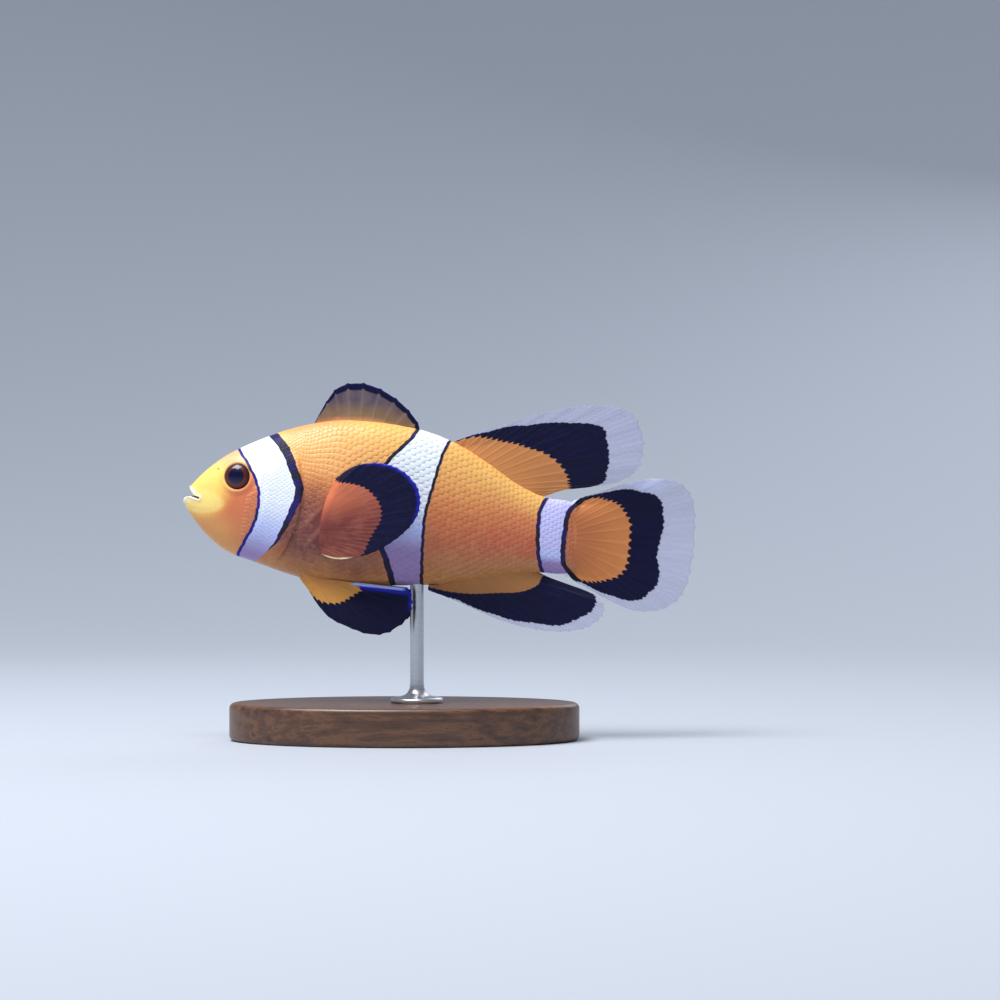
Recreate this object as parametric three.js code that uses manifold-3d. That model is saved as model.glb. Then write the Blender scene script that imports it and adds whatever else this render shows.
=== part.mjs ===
// A life-size clownfish swimming still above a small display stand.
//
// The fish is modelled in its own frame: x runs from the snout to the tail, z is up and
// -y is the fish's left side. Its group is then pitched nose up and lifted onto the stand.
// Millimetres throughout; the origin is on the stand's underside, on the rod's axis.

import * as THREE from 'three';
import { mergeVertices } from 'three/addons/utils/BufferGeometryUtils.js';
import Module from 'manifold-3d';

const wasm = await Module();
wasm.setup();

// ---------------------------------------------------------------- driving dimensions

const GAP = 0.3; // clearance where two pieces are parted or meet
const HALF_REACH = 20; // half the width of every cutting shape, wider than the fish
const ARC_STEPS = 24; // straight steps in each round outline

// Where the snout is, and how far the fish points its nose up.
const SNOUT_X = -37.4;
const SNOUT_HEIGHT = 38.7;
const PITCH = THREE.MathUtils.degToRad(6);

// Body stations from the lips to the end of the tail stem:
// back x, back z, belly x, belly z, half width.
const BODY_STATIONS = [
  [0.5, 1.0, 0.2, 0.1, 0.5],
  [1.2, 2.4, 0.3, -1.0, 1.3],
  [3.2, 4.9, 1.7, -2.9, 2.2],
  [6.0, 7.5, 4.4, -5.6, 3.3],
  [9.4, 9.7, 8.0, -7.9, 4.3],
  [13.6, 11.9, 12.6, -9.1, 5.05],
  [18.0, 13.7, 18.0, -10.4, 5.5],
  [23.0, 15.0, 23.0, -11.2, 5.7],
  [28.0, 15.4, 28.0, -11.2, 5.6],
  [33.0, 15.3, 33.0, -10.7, 5.25],
  [38.0, 14.7, 38.0, -10.1, 4.75],
  [43.0, 13.2, 43.0, -9.4, 4.1],
  [48.0, 10.8, 48.0, -8.3, 3.35],
  [53.0, 8.0, 53.0, -6.8, 2.6],
  [57.5, 6.3, 57.5, -6.0, 2.05],
  [61.0, 6.1, 61.0, -5.9, 1.55],
  [63.6, 5.4, 63.6, -5.2, 0.95],
  [65.0, 3.6, 65.0, -3.4, 0.6],
];
const BODY_RINGS = 44;
const BODY_SIDES = 26;
const FLANK_FULLNESS = 0.88; // below 1 the flank is flatter than an ellipse
const BELLY_FULLNESS = 0.12; // how much wider the belly is than the back

// The gill opening and the front of the gill cover are arcs about one centre.
const GILL_CENTRE = [0.7, 1.5];
const GILL_RADIUS = 18.5;
const GILL_COVER_INNER_RADIUS = 12.4;
const GILL_COVER_TOP = 7.2;
const GILL_COVER_BOTTOM = -6.0;
const GILL_COVER_INSIDE = 3.7;

// The mouth: an open notch between the lips, a closed line from it to the corner, and the
// line along which the lower jaw parts.
const MOUTH_NOTCH = [1.8, 0.52];
const MOUTH_CORNER = [2.64, 0.28];
const LIP_UPPER_EDGE = [-1.5, 4.6];
const LIP_LOWER_EDGE = [-1.5, -0.15];
const JAW_HINGE = [6.2, -1.6];
const JAW_THROAT = [7.6, -9.5];

// Eyes: lens-shaped balls, turned a little forwards and upwards.
const EYE_CENTRE = [8.55, 3.15, 4.3];
const EYE_RADIUS = 2.15;
const EYE_HALF_DEPTH = 1.1;
const EYE_FORWARD = THREE.MathUtils.degToRad(12);
const EYE_UPWARD = THREE.MathUtils.degToRad(6);

const TAIL_STEM_START = 54.6;

const FIN_RAYS = 18;
const FIN_STEPS = 4;

// Stand: an oval wooden base and one turned steel rod with a foot.
const BASE_LENGTH = 56;
const BASE_WIDTH = 34;
const BASE_THICKNESS = 6;
const BASE_BEVEL = 0.8;
const BASE_SHIFT = -2; // the base's middle lies a little forward, under the fish's weight
const ROD_RADIUS = 1.1;
const ROD_FOOT_RADIUS = 4.2;
const ROD_FOOT_HEIGHT = 1.0;
const ROD_TOP = 31.6;
const ROD_TIP_CHAMFER = 0.4;

// ---------------------------------------------------------------- materials

function finish(color, roughness, metalness = 0) {
  return new THREE.MeshStandardMaterial({ color, roughness, metalness });
}

const orangeSkin = finish(0xd9823c, 0.45);
const finWeb = finish(0x1c1a2c, 0.4);
const dorsalWeb = finish(0x8a7a55, 0.45);
const eyeGloss = finish(0x140f1c, 0.1);
const darkWood = finish(0x3a261a, 0.5);
const steel = finish(0xb8bcc0, 0.3, 1);

// ---------------------------------------------------------------- solids and cuts

// A closed three.js geometry as a solid that can be joined and cut.
function solid(geometry) {
  const bare = geometry.clone();
  bare.deleteAttribute('normal');
  bare.deleteAttribute('uv');
  const merged = mergeVertices(bare, 1e-5);
  return new wasm.Manifold(new wasm.Mesh({
    numProp: 3,
    vertProperties: Float32Array.from(merged.attributes.position.array),
    triVerts: Uint32Array.from(merged.index.array),
  }));
}

// The solid back as a three.js geometry.
function geometryOf(body) {
  const mesh = body.getMesh();
  const geometry = new THREE.BufferGeometry();
  geometry.setAttribute('position', new THREE.BufferAttribute(mesh.vertProperties, 3));
  geometry.setIndex(new THREE.BufferAttribute(mesh.triVerts, 1));
  geometry.computeVertexNormals();
  return geometry;
}

// A side-view outline carried across the fish from y = from to y = to.
function acrossBody(shape, from = -HALF_REACH, to = HALF_REACH) {
  const geometry = new THREE.ExtrudeGeometry(shape, {
    depth: to - from,
    bevelEnabled: false,
    curveSegments: ARC_STEPS,
  });
  geometry.rotateX(Math.PI / 2);
  geometry.translate(0, to, 0);
  return solid(geometry);
}

function polygon(points) {
  return new THREE.Shape(points.map(([x, z]) => new THREE.Vector2(x, z)));
}

// Everything in front of the gill arc, at the given radius from its centre.
function gillDisc(radius) {
  const shape = new THREE.Shape();
  shape.absarc(GILL_CENTRE[0], GILL_CENTRE[1], radius, 0, 2 * Math.PI);
  return acrossBody(shape);
}

// ---------------------------------------------------------------- body

function throughStations(columns) {
  const points = BODY_STATIONS.map((row) => new THREE.Vector3(row[columns[0]], 0, row[columns[1]]));
  return new THREE.CatmullRomCurve3(points, false, 'catmullrom', 0.5);
}

// The whole body as one lofted skin, grown outwards by swell millimetres. Each ring runs
// from the back curve to the belly curve; both ends close on a point.
function bodyGeometry(swell = 0) {
  const back = throughStations([0, 1]);
  const belly = throughStations([2, 3]);
  const width = throughStations([0, 4]);
  const positions = [];
  for (let i = 0; i < BODY_RINGS; i += 1) {
    const along = i / (BODY_RINGS - 1);
    const top = back.getPoint(along);
    const bottom = belly.getPoint(along);
    const middle = top.clone().add(bottom).multiplyScalar(0.5);
    const up = top.clone().sub(middle);
    const halfHeight = up.length() + swell;
    up.normalize();
    for (let k = 0; k < BODY_SIDES; k += 1) {
      const angle = (2 * Math.PI * k) / BODY_SIDES;
      const round = Math.sign(Math.sin(angle)) * Math.abs(Math.sin(angle)) ** FLANK_FULLNESS;
      const fuller = 1 - BELLY_FULLNESS * Math.cos(angle);
      const point = middle.clone().addScaledVector(up, halfHeight * Math.cos(angle));
      point.y = (width.getPoint(along).z + swell) * round * fuller;
      positions.push(point.x, point.y, point.z);
    }
  }
  const nose = positions.length / 3;
  positions.push(BODY_STATIONS[0][2] - swell, 0, (BODY_STATIONS[0][1] + BODY_STATIONS[0][3]) / 2);
  const last = BODY_STATIONS[BODY_STATIONS.length - 1];
  positions.push(last[0] + GAP + swell, 0, (last[1] + last[3]) / 2);

  const index = [];
  for (let k = 0; k < BODY_SIDES; k += 1) {
    const next = (k + 1) % BODY_SIDES;
    index.push(nose, k, next);
    for (let i = 0; i < BODY_RINGS - 1; i += 1) {
      const here = i * BODY_SIDES;
      const beyond = here + BODY_SIDES;
      index.push(here + k, beyond + next, here + next);
      index.push(here + k, beyond + k, beyond + next);
    }
    const end = (BODY_RINGS - 1) * BODY_SIDES;
    index.push(end + k, nose + 1, end + next);
  }
  const geometry = new THREE.BufferGeometry();
  geometry.setAttribute('position', new THREE.Float32BufferAttribute(positions, 3));
  geometry.setIndex(index);
  return geometry;
}

const wholeBody = solid(bodyGeometry());
const bodyWithGap = solid(bodyGeometry(GAP));

// ---------------------------------------------------------------- eyes

// One eye, grown by swell millimetres. side is -1 for the left eye and 1 for the right.
function eyeGeometry(side, swell = 0) {
  const geometry = new THREE.SphereGeometry(1, 18, 10);
  const radius = EYE_RADIUS + swell;
  geometry.scale(radius, EYE_HALF_DEPTH + swell, radius);
  geometry.rotateZ(side * EYE_FORWARD);
  geometry.rotateX(side * EYE_UPWARD);
  geometry.translate(EYE_CENTRE[0], side * EYE_CENTRE[1], EYE_CENTRE[2]);
  return geometry;
}

// ---------------------------------------------------------------- head

const mouthWedge = acrossBody(polygon([LIP_UPPER_EDGE, LIP_LOWER_EDGE, MOUTH_NOTCH]));

// The lower jaw's outline from the side, moved back by shift.
function jawRegion(shift) {
  return acrossBody(polygon([
    [-2, MOUTH_NOTCH[1] + shift],
    [MOUTH_NOTCH[0], MOUTH_NOTCH[1] + shift],
    [MOUTH_CORNER[0], MOUTH_CORNER[1] + shift],
    [JAW_HINGE[0] + shift, JAW_HINGE[1] + shift],
    [JAW_THROAT[0] + shift, JAW_THROAT[1]],
    [-2, JAW_THROAT[1]],
  ]));
}

// One gill cover's block: the part of a ring that lies outside the cheek, grown by swell.
function gillCoverRegion(side, swell) {
  const shape = new THREE.Shape();
  const outer = GILL_RADIUS + 1;
  const inner = GILL_COVER_INNER_RADIUS - swell;
  shape.absarc(GILL_CENTRE[0], GILL_CENTRE[1], outer, -Math.PI / 2, Math.PI / 2, false);
  shape.absarc(GILL_CENTRE[0], GILL_CENTRE[1], inner, Math.PI / 2, -Math.PI / 2, true);
  const ring = acrossBody(shape);
  const inside = GILL_COVER_INSIDE - swell;
  const slab = polygon([
    [0, GILL_COVER_BOTTOM - swell],
    [GILL_RADIUS * 2, GILL_COVER_BOTTOM - swell],
    [GILL_RADIUS * 2, GILL_COVER_TOP + swell],
    [0, GILL_COVER_TOP + swell],
  ]);
  const reach = side < 0 ? [-HALF_REACH, -inside] : [inside, HALF_REACH];
  return ring.intersect(acrossBody(slab, reach[0], reach[1]));
}

const sockets = solid(eyeGeometry(-1, GAP)).add(solid(eyeGeometry(1, GAP)));
const headBlock = wholeBody
  .intersect(gillDisc(GILL_RADIUS - GAP / 2))
  .subtract(mouthWedge)
  .subtract(sockets);
const head = headBlock
  .subtract(jawRegion(GAP))
  .subtract(gillCoverRegion(-1, GAP))
  .subtract(gillCoverRegion(1, GAP));
const lowerJaw = headBlock.intersect(jawRegion(0));

// ---------------------------------------------------------------- trunk and tail stem

// A box across the fish from x = from to x = to.
function slice(from, to) {
  return acrossBody(polygon([
    [from, -HALF_REACH],
    [to, -HALF_REACH],
    [to, HALF_REACH],
    [from, HALF_REACH],
  ]));
}

// The rod's line in the fish's own frame, as a bore with clearance.
function rodBore() {
  const height = ROD_TOP + 2 * GAP;
  const geometry = new THREE.CylinderGeometry(ROD_RADIUS + GAP, ROD_RADIUS + GAP, height, 24);
  geometry.rotateX(Math.PI / 2);
  geometry.translate(-SNOUT_X, 0, height / 2 - SNOUT_HEIGHT);
  geometry.rotateY(-PITCH);
  return solid(geometry);
}

const behindGills = wholeBody.subtract(gillDisc(GILL_RADIUS + GAP / 2));
const trunk = behindGills.intersect(slice(0, TAIL_STEM_START - GAP / 2)).subtract(rodBore());
const tailStem = behindGills.intersect(slice(TAIL_STEM_START + GAP / 2, 80));

// ---------------------------------------------------------------- fins

function sideCurve(points) {
  const path = points.map(([x, z]) => new THREE.Vector3(x, 0, z));
  return new THREE.CatmullRomCurve3(path, false, 'catmullrom', 0.5);
}

// A fin as a fan of rays from its root, buried in the body, to its outer edge. bend gives
// the fin's sideways place at (x, z); its thickness falls from root to edge.
function finGeometry(fin, side) {
  const root = sideCurve(fin.root);
  const edge = sideCurve(fin.edge);
  const positions = [];
  for (const face of [1, -1]) {
    for (let i = 0; i <= FIN_RAYS; i += 1) {
      const from = root.getPoint(i / FIN_RAYS);
      const to = edge.getPoint(i / FIN_RAYS);
      for (let j = 0; j <= FIN_STEPS; j += 1) {
        const out = j / FIN_STEPS;
        const point = from.clone().lerp(to, out);
        const thick = THREE.MathUtils.lerp(fin.rootThickness, fin.edgeThickness, out ** 0.6);
        const across = fin.bend(point.x, point.z) + (face * thick) / 2;
        positions.push(point.x, side * across, point.z);
      }
    }
  }
  const row = FIN_STEPS + 1;
  const other = (FIN_RAYS + 1) * row;
  const index = [];
  const quad = (a, b, c, d) => index.push(a, b, c, a, c, d);
  for (let i = 0; i < FIN_RAYS; i += 1) {
    for (let j = 0; j < FIN_STEPS; j += 1) {
      const a = i * row + j;
      quad(a, a + 1, a + row + 1, a + row);
      quad(other + a, other + a + row, other + a + row + 1, other + a + 1);
    }
    const start = i * row;
    const end = start + FIN_STEPS;
    quad(start, start + row, other + start + row, other + start);
    quad(end, other + end, other + end + row, end + row);
  }
  for (let j = 0; j < FIN_STEPS; j += 1) {
    const rear = FIN_RAYS * row + j;
    quad(j, other + j, other + j + 1, j + 1);
    quad(rear, rear + 1, other + rear + 1, other + rear);
  }
  const geometry = new THREE.BufferGeometry();
  geometry.setAttribute('position', new THREE.Float32BufferAttribute(positions, 3));
  geometry.setIndex(index);
  return geometry;
}

// The fin as a solid, turned right side out if the fan ran the other way, and trimmed to
// stand just clear of the body.
function finSolid(fin, side = 1) {
  const geometry = finGeometry(fin, side);
  if (signedVolume(geometry) < 0) {
    const order = geometry.index.array;
    for (let i = 0; i < order.length; i += 3) {
      [order[i], order[i + 1]] = [order[i + 1], order[i]];
    }
  }
  return solid(geometry).subtract(bodyWithGap);
}

function signedVolume(geometry) {
  const position = geometry.attributes.position;
  const index = geometry.index.array;
  const corner = (n) => new THREE.Vector3().fromBufferAttribute(position, n);
  let volume = 0;
  for (let i = 0; i < index.length; i += 3) {
    const [a, b, c] = [corner(index[i]), corner(index[i + 1]), corner(index[i + 2])];
    volume += a.dot(b.cross(c)) / 6;
  }
  return volume;
}

// 0 below from, 1 above to, smooth between.
function ease(value, from, to) {
  return THREE.MathUtils.smoothstep(value, from, to);
}

const DORSAL_FIN_FRONT = {
  root: [[21.2, 12.6], [25.6, 13.0], [30.0, 13.0], [34.4, 12.4]],
  edge: [
    [19.6, 14.2], [21.0, 17.6], [22.8, 20.4], [26.2, 21.5], [30.2, 20.6], [33.8, 18.4],
    [36.2, 15.9], [36.6, 13.9],
  ],
  rootThickness: 1.4,
  edgeThickness: 0.55,
  bend: (x, z) => 0.25 * Math.sin(0.35 * (x - 20)) * ease(z, 15, 21),
};

const DORSAL_FIN_REAR = {
  root: [[41.5, 11.6], [46.2, 9.9], [50.9, 7.6], [55.4, 5.2]],
  edge: [
    [41.4, 13.2], [45.5, 15.2], [50.0, 17.2], [55.5, 19.5], [61.0, 21.3], [66.5, 21.9],
    [70.8, 20.6], [72.6, 16.4], [72.0, 12.2], [69.2, 9.9], [64.8, 8.6], [60.6, 7.7],
    [57.2, 6.2],
  ],
  rootThickness: 1.3,
  edgeThickness: 0.5,
  bend: (x, z) => -1.5 * ease(x, 52, 74) * ease(z, 6, 13),
};

const ANAL_FIN = {
  root: [[40.6, -8.4], [46.0, -7.2], [51.2, -5.9], [56.4, -4.6]],
  edge: [
    [40.4, -10.6], [43.6, -11.4], [48.0, -12.8], [52.6, -14.2], [57.6, -15.0], [62.6, -15.0],
    [66.8, -13.8], [69.0, -11.4], [68.2, -9.1], [65.4, -7.9], [61.4, -7.1], [57.6, -6.2],
  ],
  rootThickness: 1.3,
  edgeThickness: 0.5,
  bend: (x, z) => -1.4 * ease(x, 50, 70) * ease(-z, 5, 10),
};

const CAUDAL_FIN = {
  root: [[61.8, 4.6], [62.6, 1.6], [62.6, -1.5], [61.8, -4.5]],
  edge: [
    [61.8, 6.2], [66.0, 7.9], [70.4, 9.9], [75.0, 11.1], [79.2, 10.8], [81.6, 8.0],
    [82.3, 3.0], [82.3, -2.4], [81.4, -7.0], [78.6, -9.7], [74.4, -10.5], [70.2, -9.5],
    [66.0, -7.7], [62.0, -6.1],
  ],
  rootThickness: 1.2,
  edgeThickness: 0.5,
  bend: (x, z) => 0.9 * ease(x, 64, 84) * (1 + 0.4 * Math.sin(0.3 * z)),
};

const PELVIC_FIN = {
  root: [[20.4, -9.6], [21.9, -9.8], [23.4, -9.8], [24.8, -9.8]],
  edge: [
    [20.0, -10.8], [21.7, -12.6], [23.3, -14.6], [25.6, -16.6], [28.9, -17.8], [32.5, -18.5],
    [35.7, -17.6], [37.9, -15.5], [38.3, -12.9], [37.2, -10.9], [33.6, -10.6], [29.8, -10.8],
    [26.6, -10.8],
  ],
  rootThickness: 1.4,
  edgeThickness: 0.55,
  bend: (x, z) => 2.1 + 1.1 * ease(-z, 10, 18) + 0.9 * ease(x, 24, 34),
};

const PECTORAL_FIN = {
  root: [[20.9, 1.4], [21.2, -0.8], [21.4, -3.0], [21.3, -5.2]],
  edge: [
    [21.4, 2.8], [24.2, 5.7], [27.3, 8.1], [31.2, 8.9], [35.0, 8.0], [37.7, 5.4],
    [38.2, 2.1], [36.7, -1.0], [34.0, -3.7], [30.3, -5.9], [26.2, -7.0], [22.2, -6.4],
  ],
  rootThickness: 2.4,
  edgeThickness: 0.55,
  bend: (x) => 5.4 + 0.26 * (x - 21),
};

// ---------------------------------------------------------------- stand

// A flat oval plate with a small bevel all round, lying on z = 0.
function baseGeometry() {
  const shape = new THREE.Shape();
  shape.absellipse(0, 0, BASE_LENGTH / 2 - BASE_BEVEL, BASE_WIDTH / 2 - BASE_BEVEL, 0, 2 * Math.PI);
  const geometry = new THREE.ExtrudeGeometry(shape, {
    depth: BASE_THICKNESS - 2 * BASE_BEVEL,
    bevelThickness: BASE_BEVEL,
    bevelSize: BASE_BEVEL,
    bevelSegments: 2,
    curveSegments: ARC_STEPS,
  });
  geometry.translate(BASE_SHIFT, 0, BASE_BEVEL);
  return geometry;
}

// A turned rod: a low foot that eases into a thin straight shaft with a chamfered tip.
function rodGeometry() {
  const shaft = ROD_TOP - BASE_THICKNESS;
  const profile = [
    [0, 0],
    [ROD_FOOT_RADIUS, 0],
    [ROD_FOOT_RADIUS, 0.6 * ROD_FOOT_HEIGHT],
    [0.9 * ROD_FOOT_RADIUS, ROD_FOOT_HEIGHT],
    [0.45 * ROD_FOOT_RADIUS, 1.3 * ROD_FOOT_HEIGHT],
    [1.1 * ROD_RADIUS, 2 * ROD_FOOT_HEIGHT],
    [ROD_RADIUS, 3 * ROD_FOOT_HEIGHT],
    [ROD_RADIUS, shaft - ROD_TIP_CHAMFER],
    [ROD_RADIUS - ROD_TIP_CHAMFER, shaft],
    [0, shaft],
  ];
  const geometry = new THREE.LatheGeometry(profile.map(([r, z]) => new THREE.Vector2(r, z)), 24);
  geometry.rotateX(Math.PI / 2);
  geometry.translate(0, 0, BASE_THICKNESS);
  return geometry;
}

// ---------------------------------------------------------------- assembly

function piece(name, geometry, material) {
  const mesh = new THREE.Mesh(geometry, material);
  mesh.name = name;
  return mesh;
}

const fish = new THREE.Group();
fish.rotation.y = PITCH;
fish.position.set(SNOUT_X, 0, SNOUT_HEIGHT);
fish.add(piece('head', geometryOf(head), orangeSkin));
fish.add(piece('lower_jaw', geometryOf(lowerJaw), orangeSkin));
fish.add(piece('trunk', geometryOf(trunk), orangeSkin));
fish.add(piece('tail_stem', geometryOf(tailStem), orangeSkin));
fish.add(piece('dorsal_fin_front', geometryOf(finSolid(DORSAL_FIN_FRONT)), dorsalWeb));
fish.add(piece('dorsal_fin_rear', geometryOf(finSolid(DORSAL_FIN_REAR)), finWeb));
fish.add(piece('caudal_fin', geometryOf(finSolid(CAUDAL_FIN)), finWeb));
fish.add(piece('anal_fin', geometryOf(finSolid(ANAL_FIN)), finWeb));

for (const [word, side] of [['left', -1], ['right', 1]]) {
  const cover = headBlock.intersect(gillCoverRegion(side, 0));
  fish.add(piece(`gill_cover_${word}`, geometryOf(cover), orangeSkin));
  fish.add(piece(`eye_${word}`, eyeGeometry(side), eyeGloss));
  fish.add(piece(`pectoral_fin_${word}`, geometryOf(finSolid(PECTORAL_FIN, side)), finWeb));
  fish.add(piece(`pelvic_fin_${word}`, geometryOf(finSolid(PELVIC_FIN, side)), finWeb));
}

const model = new THREE.Group();
model.add(fish);
model.add(piece('stand_base', baseGeometry(), darkWood));
model.add(piece('stand_rod', rodGeometry(), steel));

export default model;
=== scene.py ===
import bpy
import numpy as np
from mathutils import Euler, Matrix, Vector


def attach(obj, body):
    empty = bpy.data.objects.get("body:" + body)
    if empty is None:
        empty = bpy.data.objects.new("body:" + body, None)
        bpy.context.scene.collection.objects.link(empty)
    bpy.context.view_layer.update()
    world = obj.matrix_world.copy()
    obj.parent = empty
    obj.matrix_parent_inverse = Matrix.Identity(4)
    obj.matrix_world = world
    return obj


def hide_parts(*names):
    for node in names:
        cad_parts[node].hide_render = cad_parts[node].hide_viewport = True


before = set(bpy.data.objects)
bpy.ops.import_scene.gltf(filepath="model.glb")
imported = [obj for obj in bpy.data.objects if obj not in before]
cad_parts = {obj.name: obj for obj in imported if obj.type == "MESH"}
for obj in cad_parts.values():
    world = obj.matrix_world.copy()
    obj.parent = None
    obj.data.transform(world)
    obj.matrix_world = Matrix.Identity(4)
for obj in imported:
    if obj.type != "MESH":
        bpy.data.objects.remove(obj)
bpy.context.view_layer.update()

# ---------------------------------------------------------------- body skin
# The fish's body: one unbroken skin over head, trunk and tail stem, cast as a loft from the
# lips to the end of the tail stem, with the mouth, gill cover, nostrils and eye rims pressed
# into it. It lies a scale's depth inside the solids that it covers. Fish frame: millimetres,
# x from snout to tail, -y the left side, z up; the whole fish is then pitched nose up.

MM = 0.001
SNOUT = np.array([-37.4, 0.0, 38.7])
PITCH = np.radians(6.0)
COAT_DEPTH = 0.13
BODY_MIDDLE = np.array([32.0, 0.0, 2.0])

# back x, back z, belly x, belly z, half width
BODY_STATIONS = np.array([
    [0.5, 1.0, 0.2, 0.1, 0.5],
    [1.2, 2.4, 0.3, -1.0, 1.3],
    [3.2, 4.9, 1.7, -2.9, 2.2],
    [6.0, 7.5, 4.4, -5.6, 3.3],
    [9.4, 9.7, 8.0, -7.9, 4.3],
    [13.6, 11.9, 12.6, -9.1, 5.05],
    [18.0, 13.7, 18.0, -10.4, 5.5],
    [23.0, 15.0, 23.0, -11.2, 5.7],
    [28.0, 15.4, 28.0, -11.2, 5.6],
    [33.0, 15.3, 33.0, -10.7, 5.25],
    [38.0, 14.7, 38.0, -10.1, 4.75],
    [43.0, 13.2, 43.0, -9.4, 4.1],
    [48.0, 10.8, 48.0, -8.3, 3.35],
    [53.0, 8.0, 53.0, -6.8, 2.6],
    [57.5, 6.3, 57.5, -6.0, 2.05],
    [61.0, 6.1, 61.0, -5.9, 1.55],
    [63.6, 5.4, 63.6, -5.2, 0.95],
    [65.0, 3.6, 65.0, -3.4, 0.6],
])
FLANK_FULLNESS = 0.88
BELLY_FULLNESS = 0.12

GILL_CENTRE = (0.7, 1.5)
GILL_RADIUS = 18.5
CHEEK_RADIUS = 12.4
MOUTH_CORNER = np.array([2.64, 0.28])
MOUTH_SLIT_FRONT = np.array([1.35, 0.58])
# the open mouth's outline, as x over z from the lower lip's front to the upper lip's front
MOUTH_EDGE_Z = [-0.75, -0.45, -0.15, 0.1, 0.32, 0.46, 0.56, 0.75, 1.0, 1.3, 1.6, 1.9, 2.3]
MOUTH_EDGE_X = [-0.6, -0.1, 0.02, 0.16, 0.62, 1.3, 1.8, 1.68, 1.48, 1.22, 0.98, 0.84, 0.5]
EYE_CENTRE = np.array([8.55, 3.15, 4.3])
EYE_RIM = 2.05
NOSTRIL = (5.3, 5.15)
FIN_LOBE = (22.0, -2.2)
FOLD_RUN = 2.1


def placed(points):
    """Fish frame to the shared frame: turn about y by the pitch, move to the snout, mm to m."""
    x, y, z = points[..., 0], points[..., 1], points[..., 2]
    turned = np.stack([
        x * np.cos(PITCH) + z * np.sin(PITCH),
        y,
        z * np.cos(PITCH) - x * np.sin(PITCH),
    ], axis=-1)
    return (turned + SNOUT) * MM


def through(points, where):
    """A smooth curve through points: on each span the cubic whose slope at a point is half
    the step between that point's two neighbours; where runs from 0 to 1 over all spans."""
    points = np.asarray(points, float)
    rows = np.vstack([2 * points[0] - points[1], points, 2 * points[-1] - points[-2]])
    where = np.clip(np.asarray(where, float), 0, 1) * (len(points) - 1)
    span = np.minimum(where.astype(int), len(points) - 2)
    t = (where - span)[..., None]
    a, b, c, d = (rows[span + step] for step in range(4))
    return 0.5 * (2 * b + (c - a) * t + (2 * a - 5 * b + 4 * c - d) * t**2
                  + (3 * b - a - 3 * c + d) * t**3)


def level(values, where):
    """The same smooth curve for plain numbers."""
    return through(np.asarray(values, float)[:, None], where)[..., 0]


def ease(value, low, high):
    """0 below low, 1 above high, and 3t^2 - 2t^3 between."""
    t = np.clip((value - low) / (high - low), 0, 1)
    return t * t * (3 - 2 * t)


def hump(distance, width):
    """A bell: e to the minus (distance / width) squared."""
    return np.exp(-((distance / width) ** 2))


def loft(along, around):
    """The bare body: at along, a ring from the back curve to the belly curve. A ring's point
    is middle + up * cos(around) with a side width of sin(around) ^ fullness, wider below."""
    back = through(BODY_STATIONS[:, 0:2], along)
    belly = through(BODY_STATIONS[:, 2:4], along)
    width = through(BODY_STATIONS[:, [0, 4]], along)[..., 1] - COAT_DEPTH
    middle, up = (back + belly) / 2, (back - belly) / 2
    tall = np.linalg.norm(up, axis=-1, keepdims=True)
    up = up * (tall - COAT_DEPTH) / tall
    cos, sin = np.cos(around), np.sin(around)
    side = width * np.sign(sin) * np.abs(sin) ** FLANK_FULLNESS * (1 - BELLY_FULLNESS * cos)
    place = middle + up * cos[..., None]
    return np.stack([place[..., 0], side, place[..., 1]], axis=-1)


def relief(p):
    """How far the skin stands out of the bare body, in mm: a step at the gill cover's rear
    edge, a shallow groove at its front, a rim round the eye and a socket in it, rolled lips,
    a jaw crease, nostrils, and the fleshy lobe that carries the pectoral fin."""
    x, y, z = p[..., 0], p[..., 1], p[..., 2]
    from_gill = np.hypot(x - GILL_CENTRE[0], z - GILL_CENTRE[1])
    behind = from_gill - GILL_RADIUS
    tall = ease(z, -9.6, -6.0) * (1 - ease(z, 7.0, 9.6)) * (x > GILL_CENTRE[0])
    out = tall * 0.26 * ease(behind, -4.5, -0.15) * (1 - ease(behind, -0.12, 0.12))
    out -= tall * 0.10 * (1 - ease(behind, 0.1, 1.6)) * ease(behind, -0.12, 0.12)
    out -= tall * 0.07 * hump(from_gill - CHEEK_RADIUS, 0.28)
    eye = np.hypot(x - EYE_CENTRE[0], z - EYE_CENTRE[2])
    out += 0.22 * hump(eye - EYE_RIM - 0.3, 0.4) * (np.abs(y) > 1)
    out -= 1.5 * (1 - ease(eye, EYE_RIM - 0.55, EYE_RIM + 0.05)) * (np.abs(y) > 1)
    nostril = np.hypot(x - NOSTRIL[0], z - NOSTRIL[1])
    out += 0.07 * hump(nostril - 0.3, 0.12) - 0.3 * hump(nostril, 0.17)
    crease = np.hypot((x - 3.2) / 3.4, (z - 0.6) / 2.45)
    out -= 0.05 * hump((crease - 1) * 2.6, 0.5) * ease(x, 0.8, 2.2) * (1 - ease(z, -0.4, 1.4))
    out += 0.15 * hump(lip_gap(x, z) - 0.3, 0.26) - 0.2 * hump(slit_gap(x, z), 0.13)
    lobe = np.hypot((x - FIN_LOBE[0]) / 2.6, (z - FIN_LOBE[1]) / 4.4)
    folds = 0.05 * np.sin(FOLD_RUN * (x - 0.8 * z)) * (1 - ease(lobe, 0.5, 1.1))
    out += (0.36 * (1 - ease(lobe, 0.3, 1.3)) + folds) * (np.abs(y) > 2)
    return out


def slit_gap(x, z):
    """Distance to the closed part of the mouth, the straight slit before its corner."""
    run = MOUTH_CORNER - MOUTH_SLIT_FRONT
    part = np.clip(((x - MOUTH_SLIT_FRONT[0]) * run[0] + (z - MOUTH_SLIT_FRONT[1]) * run[1])
                   / (run @ run), 0, 1)
    return np.hypot(x - MOUTH_SLIT_FRONT[0] - part * run[0],
                    z - MOUTH_SLIT_FRONT[1] - part * run[1])


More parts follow.
